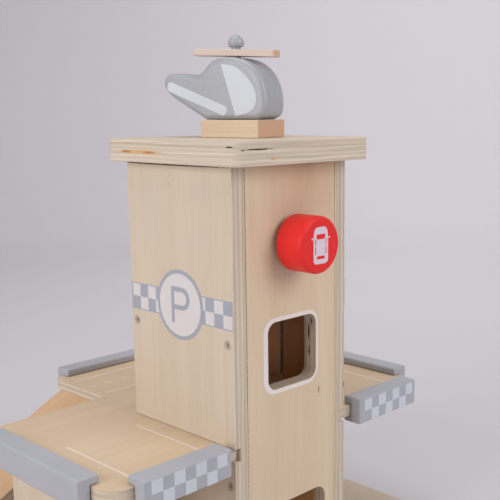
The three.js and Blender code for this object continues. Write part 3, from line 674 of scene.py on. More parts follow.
def board(node, through, along, plies, radius=0.8, crisp_plane=None, body="garage", **wood):
    """A sanded and lacquered board in place of a packed one."""
    return piece(node + "_finished", sanded(node, radius, crisp_plane=crisp_plane),
                 plywood(node, through, along, plies, **wood), body, [node])


board("base_board", "Z", "X", 7)
board("deck_plate", "Z", "X", 5, radius=0.4, tones=amber_birch)
for wall in ("right_wall", "left_wall", "ramp_wall"):
    board(wall, "X", "Z", 7)

# %% Ramp
ramp_low, ramp_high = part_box("ramp_board")
ramp_past_wall = 2 * MM
ramp_nose = 1.5 * MM
ramp_head_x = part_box("ramp_wall")[1].x + ramp_past_wall
ramp_rise = ramp_high.z - (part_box("base_board")[1].z + ramp_nose)
ramp_tilt = math.atan2(ramp_rise, ramp_head_x - ramp_low.x)
ramp_thick = 9 * MM
ramp_under = Vector((ramp_head_x, ramp_low.y, ramp_high.z))
ramp_under -= ramp_thick * Vector((-math.sin(ramp_tilt), 0, math.cos(ramp_tilt)))
# The ramp's darker tan is partly painted shade.
board("ramp_board", "Z", "X", 5, radius=0.6, tones=shaded_tan_birch, thickness=ramp_thick,
      tilt=ramp_tilt, origin=ramp_under)
print("ramp slope", round(math.degrees(ramp_tilt), 1), "degrees")

# %% [markdown]
# ## The tower
# Two side panels stand outside the front and rear panels, so their ply edges show as two striped
# bands at the tower's front corners. They were sanded before they were glued on, except where
# they meet the front and rear panels: there the joint stays a thin crisp line. The window in the
# front panel cuts through seven veneers, and a core veneer with dark knots shows in its right
# reveal.

# %% Tower panels
front_low, front_high = [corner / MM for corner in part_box("tower_front_panel")]
front_face = front_low.y
window_middle = middle("tower_front_panel").x / MM
window_half = 25.4
window_right = window_middle + window_half
deck_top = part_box("deck_plate")[1].z / MM
roof_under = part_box("roof_board")[0].z / MM
left_low, left_high = [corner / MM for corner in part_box("tower_left_panel")]
right_low, right_high = [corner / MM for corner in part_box("tower_right_panel")]

# A flaw or a painted shadow is a place, how far it reaches on each axis, and its tint. First
# the window's reveal, then a pin knot, then painted shade in the seams beside the side panels,
# with some grime, and a painted shadow in the line under the roof.
front_flaws_and_shadows = [
    ((window_right, front_face + 7.3, deck_top + 68.5), (1.4, 1.2, 9.0), "#6a2f1c"),
    ((window_right, front_face + 4.3, deck_top + 78), (1.4, 0.9, 5.5), "#5c4a3c"),
    ((window_right, front_face + 7.1, deck_top + 53.5), (1.4, 1.0, 5.0), "#7a4226"),
    ((window_right + 2.9, front_face, deck_top + 23.9), (0.7, 0.8, 4.0), "#7c5c3e"),
    # Painted shade in the seams, with some grime; then a painted shadow under the roof.
    ((front_low.x, front_face, (deck_top + roof_under) / 2), (0.75, 1.5, 180), "#8a745c"),
    ((front_high.x, front_face, roof_under), (0.6, 1.5, 95), "#9a5c38"),
    ((window_right, front_face, roof_under - 0.9), (75, 1.5, 0.7), "#94684c"),
]
# A broad patch, warmer and darker, across the top of the front panel under the roof.
front_blushes = [
    ((window_right - 10, front_face, roof_under), (50, 20, 62), "#be8f6c"),
]
left_flaws_and_shadows = [
    ((left_low.x, front_face + 66, deck_top + 183), (0.8, 0.7, 1.3), "#c6a878"),
    # Painted shadows: along the panel's foot on the deck, and under the roof.
    ((left_low.x, front_face + 62, deck_top), (1.5, 120, 0.55), "#6b4c34"),
    ((left_low.x, front_face + 68, roof_under - 1.1), (1.5, 85, 0.95), "#42362b"),
]
right_flaws = [
    (((right_low.x + right_high.x) / 2 + 5.2, front_face, deck_top + 20.9),
     (0.7, 0.9, 3.4), "#5d3a24"),
]
board("tower_left_panel", "X", "Z", 7, radius=0.7, crisp_plane=("X", left_high.x * MM),
      marks=left_flaws_and_shadows, hidden=(1, 0, 0))
board("tower_right_panel", "X", "Z", 7, crisp_plane=("X", right_low.x * MM),
      marks=right_flaws, hidden=(-1, 0, 0))
board("tower_front_panel", "Y", "Z", 7, radius=0.25, tones=peach_birch, marks=front_flaws_and_shadows,
      blushes=front_blushes, hidden=(0, 1, 0))
board("tower_rear_panel", "Y", "Z", 7, radius=0.25, tones=peach_birch, hidden=(0, -1, 0))
print("tower front at", round(front_face, 1), "mm")

# %% Roof
roof_low, roof_high = [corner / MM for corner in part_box("roof_board")]
roof_flaws = [
    ((roof_low.x, front_face - 10.3, roof_low.z + 12.9), (1.6, 4.6, 0.75), "#1c130d"),
    ((roof_low.x + 20.0, roof_low.y, roof_low.z + 11.1), (16.0, 1.6, 0.68), "#221810"),
    ((roof_low.x + 6.2, roof_low.y, roof_low.z + 10.7), (2.4, 1.6, 0.5), "#3c2d20"),
    ((roof_low.x, front_face + 84, roof_low.z + 7.5), (1.6, 32.0, 1.9), "#d3aa7c"),
    ((roof_low.x, front_face + 101, roof_low.z + 7.6), (1.6, 7.5, 1.2), "#b97c48"),
    ((roof_low.x, front_face + 75, roof_low.z + 7.3), (1.6, 9.0, 1.2), "#c08450"),
    ((roof_low.x + 33.5, roof_low.y, roof_low.z + 4.4), (3.4, 1.6, 1.1), "#caa67d"),
]
board("roof_board", "Z", "X", 11, radius=0.7, marks=roof_flaws)
print("roof thickness", round(roof_high.z - roof_low.z, 1), "mm")

# %% Lift car
board("lift_floor", "Z", "Y", 5, radius=0.5, tones=shaded_tan_birch, body="lift_car")
# The cheeks are painted deep brown as shade inside the tower.
board("lift_left_cheek", "X", "Z", 3, radius=0.4, tones=cheek_shade_birch, body="lift_car")
board("lift_right_cheek", "X", "Z", 3, radius=0.4, tones=cheek_shade_birch, body="lift_car")
board("lift_bridge", "Z", "X", 5, radius=0.4, body="lift_car")

# %% [markdown]
# ## Kerbs
# The kerbs are solid wood strips with a groove that slips over the deck's edge, rounded and
# painted grey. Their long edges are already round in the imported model, so only the cut ends are
# softened here.

# %% Kerbs
kerb_nodes = ["front_left_kerb", "front_right_kerb", "right_kerb", "rear_kerb", "left_kerb"]
kerb_end_radius = 1.3
for node in kerb_nodes:
    piece(node + "_painted", sanded(node, kerb_end_radius, segments=4), grey_paint, "garage",
          [node])
print("kerbs:", len(kerb_nodes))

# %% [markdown]
# ## Turned pieces
# The knob, the shaft and its bushes, the spool, the bead and the rotor's peg come off a lathe.
# Spinning a profile with a modifier would leave a seam and open poles, so `turned` sets ring
# after ring of points round the axis and closes each end on it. `rounded` turns the corners of
# an outline into arcs, as a cutter or a drill leaves them. A profile is a list of (radius,
# height, rounding).

# %% Outlines and turning


def rounded(corners, steps=6):
    """A closed outline from corners of (x, y, radius): each corner becomes an arc."""
    outline = []
    for i, (x, y, radius) in enumerate(corners):
        here = Vector((x, y))
        if radius == 0:
            outline.append(here)
            continue
        back = (Vector(corners[i - 1][:2]) - here).normalized()
        onward = (Vector(corners[(i + 1) % len(corners)][:2]) - here).normalized()
        half = back.angle(onward) / 2
        centre = here + (back + onward).normalized() * (radius / math.sin(half))
        start = here + back * (radius / math.tan(half)) - centre
        end = here + onward * (radius / math.tan(half)) - centre
        sweep = math.pi - 2 * half
        for k in range(steps + 1):
            t = k / steps
            arm = start * math.sin((1 - t) * sweep) + end * math.sin(t * sweep)
            outline.append(centre + arm / math.sin(sweep))
    return outline


def turned(name, profile, place, sides=64, closed=False):
    """Points of (radius, height) turned about the local Z axis of `place`, in millimetres."""
    shape = bmesh.new()
    rings = [ring(shape, radius, height, sides) for radius, height in profile]
    skin(shape, rings + rings[:1] if closed else rings)
    return closed_mesh(name, shape, place)


def on_axis(node, axis):
    """A place on a piece's own axis, with local Z along it and its zero at the piece's end."""
    origin = middle(node)
    origin[AXES[axis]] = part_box(node)[0][AXES[axis]]
    turn = Matrix.Rotation(-math.pi / 2, 4, "X") if axis == "Y" else Matrix()
    return Matrix.Translation(origin) @ turn


def length_and_radius(node, axis):
    """A turned piece's length and its largest radius, in millimetres."""
    low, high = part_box(node)
    size = (high - low) / MM
    across = [size[i] for i in range(3) if i != AXES[axis]]
    return size[AXES[axis]], max(across) / 2


def rod(radius, length, rounding):
    """The profile of a plain rod with rounded ends."""
    return rounded([(0, 0, 0), (radius, 0, rounding), (radius, length, rounding),
                    (0, length, 0)])


def lathe(name, node, profile, material, body="winder", axis="Y", sides=64, closed=False):
    """A turned piece in place of a packed one."""
    mesh = turned(name.replace("_", " "), profile, on_axis(node, axis), sides, closed)
    return piece(name, mesh, material, body, [node])


print("a full turn is", round(full_turn, 3), "radians")

# %% Red knob, its shaft, bushes, collar and spool
knob_length, knob_radius = length_and_radius("lift_knob", "Y")
shaft_length, shaft_radius = length_and_radius("winding_shaft", "Y")
glue_gap = 0.2
running_gap = 0.3
knob_wall = (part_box("winding_shaft")[0].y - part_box("lift_knob")[0].y) / MM - glue_gap
fixed_bore = shaft_radius + glue_gap
running_bore = shaft_radius + running_gap
lathe("red_knob", "lift_knob", rounded([
    (0, 0, 0), (knob_radius, 0, 3.0), (knob_radius, knob_length, 0.6),
    (fixed_bore, knob_length, 0.5), (fixed_bore, knob_wall, 0), (0, knob_wall, 0),
], steps=8), red_paint, sides=128)
lathe("turned_shaft", "winding_shaft", rod(shaft_radius, shaft_length, 0.6), beech_deep,
      sides=48)

sleeve_radius = 6.0
flange_thick = 3.5
for node in ("front_bush", "rear_bush"):
    bush_length, flange_radius = length_and_radius(node, "Y")
    lathe(node + "_turned", node, rounded([
        (running_bore, 0, 0.3), (flange_radius, 0, 0.5), (flange_radius, flange_thick, 0.5),
        (sleeve_radius, flange_thick, 0), (sleeve_radius, bush_length, 0.4),
        (running_bore, bush_length, 0.3),
    ]), beech_deep, "garage", closed=True)

collar_length, collar_radius = length_and_radius("shaft_collar", "Y")
lathe("turned_collar", "shaft_collar", rounded([
    (fixed_bore, 0, 0.3), (collar_radius, 0, 0.6), (collar_radius, collar_length, 0.6),
    (fixed_bore, collar_length, 0.3),
]), beech_deep, closed=True)

spool_length, spool_radius = length_and_radius("cord_spool", "Y")
spool_core = 8.0
spool_wall = 3.0
far_wall = spool_length - spool_wall
lathe("turned_spool", "cord_spool", rounded([
    (fixed_bore, 0, 0.3), (spool_radius, 0, 0.8), (spool_radius, spool_wall, 0.8),
    (spool_core, spool_wall, 0.6), (spool_core, far_wall, 0.6), (spool_radius, far_wall, 0.8),
    (spool_radius, spool_length, 0.8), (fixed_bore, spool_length, 0.3),
]), beech_deep, closed=True)
print("knob radius", round(knob_radius, 1), "mm, length", round(knob_length, 1), "mm")

# %% Dowels and bead
for node in [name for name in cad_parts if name.startswith("roof_dowel")]:
    dowel_length, dowel_radius = length_and_radius(node, "Z")
    lathe(node + "_turned", node, rod(dowel_radius, dowel_length, 0.7), beech_upright,
          "garage", "Z", sides=32)

bead_height, bead_radius = length_and_radius("cord_bead", "Z")
bead_bore = 0.9
bead_bulge = 2.0
bead_steps = 12
bead_outline = [(bead_bore, 0)]
for k in range(bead_steps + 1):
    angle = math.pi * k / bead_steps - math.pi / 2
    bead_outline.append((bead_radius + bead_bulge * (math.cos(angle) - 1),
                         bead_height / 2 * (1 + math.sin(angle))))
bead_outline.append((bead_bore, bead_height))
lathe("turned_bead", "cord_bead", bead_outline, beech_upright, "lift_car", "Z", sides=32,
      closed=True)
print("bead", round(2 * bead_radius, 1), "mm across")

# %% [markdown]
# ## The helicopter
# The body is one block of wood cut to a side outline, its edges rounded all round by a router
# bit and then painted. The outline is a smooth curve through a few points, with one crisp notch
# where the tail meets the cabin. The rounding is built as rings: each ring is the outline moved
# inwards a little more, and set a little further out, along a quarter circle. The rotor bar has
# to turn freely, so its hole is wider than the peg's neck, and it hangs a little askew on it.

# %% Helicopter body
heli_place = on_axis("helicopter_stand", "Z") @ Matrix.Rotation(heli_turn, 4, "Z")
body_low, body_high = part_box("helicopter_body")
body_length = 91.0
body_width = 29.0
body_behind = 62.5
body_foot = (body_low.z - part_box("helicopter_stand")[0].z) / MM
body_height = (body_high.z - body_low.z) / MM
edge_radius = 4.0

heel_shares = (0.418, 0)
toe_shares = (0.912, 0)
nose_shares = [
    (0.974, 0.058), (0.998, 0.168), (1, 0.31), (0.986, 0.485), (0.947, 0.672), (0.88, 0.834),
    (0.791, 0.94), (0.695, 0.99), (0.62, 1), (0.55, 0.99), (0.48, 0.942), (0.403, 0.809),
    (0.344, 0.72),
]
tail_shares = [
    (0.247, 0.735), (0.151, 0.763), (0.055, 0.762), (0.01, 0.69), (0, 0.579), (0.025, 0.476),
    (0.095, 0.355),
]


def body_point(shares):
    """A point of the side outline, from its shares of the body's length and height."""
    return Vector((shares[0] * body_length - body_behind, body_foot + shares[1] * body_height))


def smooth_through(points, steps):
    """Points on a smooth curve that passes through all the given ones, without the first."""
    curve = []
    for i in range(len(points) - 1):
        before, start, end = points[max(i - 1, 0)], points[i], points[i + 1]
        after = points[min(i + 2, len(points) - 1)]
        slope_in, slope_out = (end - before) / 2, (after - start) / 2
        for k in range(1, steps + 1):
            t = k / steps
            curve.append((2 * t**3 - 3 * t**2 + 1) * start + (t**3 - 2 * t**2 + t) * slope_in
                         + (3 * t**2 - 2 * t**3) * end + (t**3 - t**2) * slope_out)
    return curve


def straight_to(points, end, count):
    """Evenly spaced points between the last one so far and `end`."""
    start = points[-1]
    return [start.lerp(end, k / count) for k in range(1, count)]


def body_outline():
    """The flat foot, then round the nose to the tail, and straight back to the heel."""
    outline = [body_point(heel_shares)]
    outline += straight_to(outline, body_point(toe_shares), 10)
    outline.append(body_point(toe_shares))
    outline += smooth_through([outline[-1]] + [body_point(s) for s in nose_shares], 6)
    outline += smooth_through([outline[-1]] + [body_point(s) for s in tail_shares], 6)
    outline += straight_to(outline, outline[0], 12)
    return outline


def inset(outline, distance):
    """The outline moved inwards; it runs anticlockwise, so inwards is to the left."""
    moved = []
    for i, here in enumerate(outline):
        arrive = (here - outline[i - 1]).normalized()
        leave = (outline[(i + 1) % len(outline)] - here).normalized()
        inward = Vector((-arrive.y - leave.y, arrive.x + leave.x)).normalized()
        spread = max(inward.dot(Vector((-arrive.y, arrive.x))), 0.5)
        moved.append(here + inward * (distance / spread))
    return moved


def block_with_round_edges(name, outline, width, radius, place, steps=8):
    """An outline in local X and Z, as thick as `width` along local Y, rounded all round."""
    shape = bmesh.new()
    quarter = [math.pi / 2 * k / steps for k in range(steps + 1)]
    stations = [(radius * (1 - math.sin(a)), -width / 2 + radius * (1 - math.cos(a)))
                for a in quarter]
    stations += [(depth, -across) for depth, across in reversed(stations)]
    rings = []
    for depth, across in stations:
        rings.append([shape.verts.new((p.x, across, p.y)) for p in inset(outline, depth)])
    skin(shape, rings)
    shape.faces.new(rings[0])
    shape.faces.new(rings[-1])
    return closed_mesh(name, shape, place)


cabin_mesh = block_with_round_edges("helicopter cabin", body_outline(), body_width, edge_radius,
                                    heli_place)
piece("helicopter_cabin", cabin_mesh, helicopter_paint, "helicopter",
      ["helicopter_body"])
print("helicopter body", body_length, "x", body_width, "x", round(body_height, 1), "mm")

# %% Stand, rotor and peg
piece("finished_stand", sanded("helicopter_stand", 0.5), beech_stand, "helicopter",
      ["helicopter_stand"])

rotor_drop = 0.2
rotor_sag = 0.04
rotor_hub = middle("rotor_bar")
rotor_across = Vector((-math.sin(rotor_turn), math.cos(rotor_turn), 0))
rotor_mesh = sanded("rotor_bar", 0.7)
rotor_mesh.transform(Matrix.Translation(rotor_hub - Vector((0, 0, rotor_drop * MM)))
                     @ Matrix.Rotation(rotor_sag, 4, rotor_across)
                     @ Matrix.Translation(-rotor_hub))
piece("finished_rotor", rotor_mesh, beech_rotor, "rotor", ["rotor_bar"])

peg_height, peg_radius = length_and_radius("rotor_peg", "Z")
peg_neck = 3.5
peg_head = 8.0
peg_rounding = 0.6
peg_steps = 16
peg_shoulder = peg_height - peg_head
peg_profile = rounded([(0, 0, 0), (peg_neck, 0, 0.5), (peg_neck, peg_shoulder, 0.5),
                       (peg_radius - peg_rounding, peg_shoulder, peg_rounding)])[:-1]
peg_brim = 2 * peg_rounding
for k in range(peg_steps + 1):
    angle = math.pi / 2 * k / peg_steps
    peg_profile.append(Vector((
        peg_radius * math.cos(angle),
        peg_shoulder + peg_brim + (peg_head - peg_brim) * math.sin(angle))))
peg_profile[-1].x = 0
lathe("round_peg", "rotor_peg", peg_profile, helicopter_paint, "helicopter", "Z")
print("peg head", round(2 * peg_radius, 1), "mm across")

# %% [markdown]
# ## Screws
# Twenty-one countersunk screws with a hexagon socket hold the toy together, each driven a
# little below the wood. They are all alike except for their length, so one screw is turned for
# each length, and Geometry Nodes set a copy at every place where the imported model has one, turned
# to face the way that screw faces.

# %% One screw of each length
screw_head_radius = 2.9
screw_head_depth = 1.8
screw_shank_radius = 1.6
driven_in = 0.6
hexagon_radius = 1.6
socket_depth = 1.3
thread_pitch = 1.4


def screw_place(node):
    """Where a packed screw's head is, which way it faces, and how long the screw is."""
    points = {tuple(round(c, 6) for c in v.co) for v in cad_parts[node].data.vertices}
    points = [Vector(p) for p in points]
    centre = sum(points, Vector()) / len(points)
    tip = max(points, key=lambda p: (p - centre).length)
    facing = (centre - tip).normalized()
    length = max((p - tip).dot(facing) for p in points) - driven_in * MM
    return tip + facing * length, facing, length / MM


def screw_object(name, length, sides=36):
    """A screw whose head faces local +Z, with the middle of its head at the origin."""
    # From the tip up: the point, the thread, the plain neck, the head's rim and its socket.
    head, shank = screw_head_radius, screw_shank_radius
    core = 0.78 * shank
    profile = [(0, -length), (shank * 0.4, -length + 0.4), (shank, -length + 3.0)]
    for k in range(int((length - 8) / thread_pitch)):
        low = -length + 3.2 + thread_pitch * k
        profile += [(shank, low), (shank, low + 0.5), (core, low + 0.7), (core, low + 1.2)]
    profile += [(shank * 0.85, -screw_head_depth - 1.0), (shank * 0.9, -screw_head_depth),
                (head - 0.15, -0.35), (head, -0.2), (head - 0.1, -0.05), (head - 0.35, 0)]
    sixth = full_turn / 6

    def hexagon(angle):
        return hexagon_radius * math.cos(sixth / 2) / math.cos(angle % sixth - sixth / 2)

    profile += [(lambda angle: hexagon(angle) + 0.15, 0), (hexagon, -0.15),
                (hexagon, -socket_depth), (0, -socket_depth - 0.4)]
    mesh = turned(name, profile, Matrix(), sides)
    return bpy.data.objects.new(name, mesh)


screw_places = {node: screw_place(node) for node in screw_nodes}
lengths = sorted({round(length) for _, _, length in screw_places.values()})
screw_kinds = [screw_object("screw of %d mm" % length, length) for length in lengths]
print("screw lengths:", lengths)

# %% Screws set in place by Geometry Nodes


def close_tree(tree, geometry, material):
    """Makes instances real, gives them their finish and returns them from the tree."""
    real = add(tree, "GeometryNodeRealizeInstances", geometry)
    done = add(tree, "GeometryNodeSetMaterial", {"Geometry": real, "Material": material})
    add(tree, "NodeGroupOutput", done)
    return tree


def screw_setter():
    """Points with a `facing` and a `kind` become screws of that kind that face that way."""
    tree, given = new_tree(
        "set screws", "GeometryNodeTree",
        {"Geometry": "Geometry", "Short screw": "Object", "Long screw": "Object",
         "Finish": "Material"}, {"Geometry": "Geometry"})
    kinds = add(tree, "GeometryNodeGeometryToInstance")
    for name in ("Long screw", "Short screw"):
        screw = add(tree, "GeometryNodeObjectInfo", {"Object": given[name],
                                                     "As Instance": True})
        feed(tree, kinds, {0: screw.outputs["Geometry"]})
    facing = add(tree, "GeometryNodeInputNamedAttribute", {"Name": "facing"},
                 data_type="FLOAT_VECTOR")
    kind = add(tree, "GeometryNodeInputNamedAttribute", {"Name": "kind"}, data_type="INT")
    aim = add(tree, "FunctionNodeAlignRotationToVector", {"Vector": facing}, axis="Z")
    placed = add(tree, "GeometryNodeInstanceOnPoints", {
        "Points": given["Geometry"], "Instance": kinds, "Pick Instance": True,
        "Instance Index": kind, "Rotation": aim})
    return close_tree(tree, placed, given["Finish"])


def made_by_nodes(name, tree, mesh=None, **inputs):
    """Runs a geometry tree on a mesh and returns its result as one plain mesh."""
    holder = in_scene(name, mesh or bpy.data.meshes.new(name))
    modifier = holder.modifiers.new(name, "NODES")
    modifier.node_group = tree
    identifiers = {item.name: item.identifier for item in tree.interface.items_tree
                   if item.item_type == "SOCKET" and item.in_out == "INPUT"}
    for key, value in inputs.items():
        modifier[identifiers[key.replace("_", " ")]] = value
    result = plain_mesh(holder)
    result.name = name
    return result


def plain_mesh(holder):
    """What an object's modifiers or curves make, as a mesh; the object itself goes."""
    bpy.context.view_layer.update()
    ready = holder.evaluated_get(bpy.context.evaluated_depsgraph_get())
    result = bpy.data.meshes.new_from_object(ready)
    holder.modifiers.clear()
    bpy.data.objects.remove(holder)
    return result


spots = bpy.data.meshes.new("screw spots")
spots.from_pydata([head for head, _, _ in screw_places.values()], [], [])
spots.attributes.new("facing", "FLOAT_VECTOR", "POINT")
spots.attributes.new("kind", "INT", "POINT")
for i, (_, facing, length) in enumerate(screw_places.values()):
    spots.attributes["facing"].data[i].vector = facing
    spots.attributes["kind"].data[i].value = lengths.index(round(length))
screw_mesh = made_by_nodes("screws", screw_setter(), spots, Short_screw=screw_kinds[0],
                           Long_screw=screw_kinds[-1], Finish=zinc_steel)
piece("socket_screws", screw_mesh, zinc_steel, "garage", screw_nodes)
print("screws set:", len(screw_places), "faces:", len(screw_mesh.polygons))

# %% [markdown]
# ## Screen print
# The white and grey marks are ink, pressed through a mesh screen on to the lacquered wood. An
# image or a painted mask would need a flat layout for each piece. Here each mark is a very thin
# body of its own with true edges, a twentieth of a millimetre proud. `inked` fills outlines and
# lays them on a face; where marks overlap, each later one lies that much higher, as overprinted
# ink does. Rows of squares and dashes come from one Geometry Nodes tree.

# %% Laying ink on a face
ink_step = 0.05


def face_place(origin, reading=(1, 0, 0), upward=(0, 0, 1)):
    """A place on a face: local X is the reading direction, local Y is up, local Z faces out."""
    x_axis, y_axis = Vector(reading), Vector(upward)
    turn = Matrix((x_axis, y_axis, x_axis.cross(y_axis))).transposed().to_4x4()
    return Matrix.Translation(Vector(origin) * MM) @ turn @ Matrix.Scale(MM, 4)


def inked(name, outlines, place, layer=1):
    """Filled outlines, in millimetres; an outline inside another is a hole in it."""
    drawing = bpy.data.curves.new(name, "CURVE")
    drawing.dimensions = "2D"
    drawing.fill_mode = "BOTH"
    drawing.extrude = ink_step * layer
    for outline in outlines:
        spline = drawing.splines.new("POLY")
        spline.points.add(len(outline) - 1)
        for point, (x, y) in zip(spline.points, outline):
            point.co = (x, y, 0, 1)
        spline.use_cyclic_u = True
    mesh = plain_mesh(in_scene(name, drawing))
    shape = bmesh.new()
    shape.from_mesh(mesh)
    bmesh.ops.remove_doubles(shape, verts=shape.verts, dist=0.001)
    bmesh.ops.recalc_face_normals(shape, faces=shape.faces)
    bmesh.ops.transform(shape, matrix=place, verts=shape.verts)
    shape.to_mesh(mesh)
    shape.free()
    mesh.name = name
    return mesh


def arc(centre, radius, start, sweep, steps):
    """Points along an arc, both of its ends among them."""
    angles = [start + sweep * k / steps for k in range(steps + 1)]
    return [(centre[0] + radius * math.cos(a), centre[1] + radius * math.sin(a))
            for a in angles]


def rectangle(left, right, low, high, radius=0.0, steps=10):
    """The outline of a rectangle, with its corners rounded."""
    return rounded([(left, low, radius), (right, low, radius), (right, high, radius),
                    (left, high, radius)], steps)


def joined(name, meshes):
    """Several meshes as one."""
    shape = bmesh.new()
    for mesh in meshes:
        shape.from_mesh(mesh)
    whole = bpy.data.meshes.new(name)
    shape.to_mesh(whole)
    shape.free()
    return whole


white_marks = []
grey_marks = []
deck_marks = []
kerb_marks = []
print("ink step", ink_step, "mm")

# %% A tree for rows of printed squares and dashes


def pattern_printer():
    """A grid of flat boxes, from the grid's low left corner; `Checked` keeps every other one."""
    tree, given = new_tree(
        "printed rows", "GeometryNodeTree",
        {"Geometry": "Geometry", "Columns": "Int", "Rows": "Int", "Pitch": "Float",
         "Width": "Float", "Height": "Float", "Thickness": "Float", "Checked": "Int",
         "First": "Int", "Ink": "Material"}, {"Geometry": "Geometry"})
    count = add(tree, "Math", given["Columns"], given["Rows"], operation="MULTIPLY")
    points = add(tree, "GeometryNodePoints", {"Count": count})
    index = add(tree, "GeometryNodeInputIndex")
    ratio = add(tree, "Math", index, given["Rows"], operation="DIVIDE")
    column = add(tree, "Math", ratio, operation="FLOOR")
    row = add(tree, "Math", index, given["Rows"], operation="MODULO")
    x = add(tree, "Math", column, given["Pitch"], operation="MULTIPLY")
    y = add(tree, "Math", row, given["Height"], operation="MULTIPLY")
    size = add(tree, "CombineXYZ", given["Width"], given["Height"], given["Thickness"])
    half = add(tree, "VectorMath", {0: size, 3: 0.5}, operation="SCALE")
    corner = add(tree, "CombineXYZ", x, y)
    spot = add(tree, "VectorMath", corner, half, operation="ADD")
    laid = add(tree, "GeometryNodeSetPosition", {"Geometry": points, "Position": spot})
    steps = add(tree, "Math", column, row, operation="ADD")
    offset = add(tree, "Math", steps, given["First"], operation="ADD")
    odd = add(tree, "Math", offset, 2.0, operation="MODULO")
    drop = add(tree, "Math", odd, given["Checked"], operation="MULTIPLY")
    kept = add(tree, "GeometryNodeDeleteGeometry", {"Geometry": laid, "Selection": drop},
               domain="POINT")
    box = add(tree, "GeometryNodeMeshCube", {"Size": size})
    placed = add(tree, "GeometryNodeInstanceOnPoints", {"Points": kept, "Instance": box})
    return close_tree(tree, placed, given["Ink"])


printed_rows = pattern_printer()


def row_of_marks(name, place, columns, rows, pitch, width, height, ink, layer=1, checked=0,
                 first=0):
    """Rows of printed boxes from one corner, lying as deep in the face as they stand out."""
    mesh = made_by_nodes(name, printed_rows, Columns=columns, Rows=rows, Pitch=pitch,
                         Width=width, Height=height, Thickness=ink_step * 2 * layer,
                         Checked=checked, First=first, Ink=ink)
    mesh.transform(place @ Matrix.Translation((0, 0, -ink_step * layer)))
    return mesh


print("row printer nodes:", len(printed_rows.nodes))

# %% The parking sign and its checked band, on both sides of the tower
band_columns = 12
band_pitch = 9.325
band_row = 9.45
band_low = 86.0
band_border = 0.85
band_from_front = 0.6
front_margin, rear_margin = 0.36, 1.4
sign_radius = 25.9
sign_ring = 2.9
sign_from_front = 56.6
sign_above_deck = 95.6
letter_height = 26.2
letter_foot = 0.8
letter_left = -9.4
letter_width = 20.5
letter_stroke = 3.5
letter_stem = 3.2
letter_bowl = 8.4


def letter_outlines():
    """A plain capital letter P: a stem, and a round bowl with a slightly wider stroke."""
    top, foot = letter_height / 2, -letter_height / 2 - letter_foot
    stem = letter_left + letter_stem
    centre = (letter_left + letter_width - letter_bowl, top - letter_bowl)
    outer, inner = [arc(centre, radius, math.pi / 2, -math.pi, 24)
                    for radius in (letter_bowl, letter_bowl - letter_stroke)]
    outside = [(letter_left, foot), (letter_left, top), *outer,
               (stem, top - 2 * letter_bowl), (stem, foot)]
    inside = [(stem, top - letter_stroke), *inner,
              (stem, top - 2 * letter_bowl + letter_stroke)]
    return [outside, inside]


def sign_on(side, reading, face, start, margins):
    """The band starts at `start` and runs in the reading direction; the sign lies over it."""
    band_place = face_place((face, start, deck_top + band_low), reading)
    border = rectangle(-margins[0], band_columns * band_pitch + margins[1], -band_border,
                       2 * band_row + band_border)
    grey_marks.append(inked("band " + side, [border], band_place))
    white_marks.append(row_of_marks("checks " + side, band_place, band_columns, 2, band_pitch,
                                    band_pitch, band_row, white_ink, layer=2, checked=1,
                                    first=1))
    sign_place = face_place((face, front_face + sign_from_front, deck_top + sign_above_deck),
                            reading)
    rim, disc = [arc((0, 0), radius, 0, full_turn, 96)[:-1]
                 for radius in (sign_radius, sign_radius - sign_ring)]
    grey_marks.append(inked("ring " + side, [rim], sign_place, layer=3))
    white_marks.append(inked("disc " + side, [disc], sign_place, layer=4))
    grey_marks.append(inked("letter " + side, letter_outlines(), sign_place, layer=5))


band_end = front_face + band_from_front
band_start = band_end + band_columns * band_pitch
sign_on("left", (0, -1, 0), left_low.x, band_start, (rear_margin, front_margin))
sign_on("right", (0, 1, 0), right_high.x, band_end, (front_margin, rear_margin))
print("sign", 2 * sign_radius, "mm across")

# %% Window border, kerb checks and the marks on the deck
# Left and right of the window's middle, low and high above the deck, and the corner radius.
border_outside = (-30.0, 27.5, 31.5, 87.9, 11.2)
border_inside = (-25.7, 25.6, 34.3, 84.9, 8.3)
window_border = inked("window border", [rectangle(*border_outside), rectangle(*border_inside)],
                      face_place((window_middle, front_face, deck_top)))

kerb_checks = 7
kerb_pitch = 9.2
kerb_margin = 6.0
kerb_below_deck = 13.6
for node in ("front_left_kerb", "front_right_kerb"):
    kerb_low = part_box(node)[0] / MM
    place = face_place((kerb_low.x + kerb_margin, kerb_low.y, deck_top - kerb_below_deck))
    kerb_marks.append(row_of_marks("checks " + node, place, kerb_checks, 2, kerb_pitch,
                                   kerb_pitch, kerb_pitch, cool_ink, checked=1, first=1))

line_width = 1.8
line_half = line_width / 2
bay_lines = (-136.5, -76, 76, 136.5)
bay_front, bay_rear = front_face + 10.2, front_face + 92
road_edges = (front_face + 174.3, front_face + 220.4)
road_middle = front_face + 197.9
road_start = window_middle - 46
road_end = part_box("deck_plate")[1].x / MM - 28
dash_pitch = 16.2
dash_length = 7.5


def deck_line(name, left, right, near, far):
    """A straight line printed on the deck, between two X and two Y places."""
    place = face_place((0, 0, deck_top), upward=(0, 1, 0))
    deck_marks.append(inked(name, [rectangle(left, right, near, far)], place))


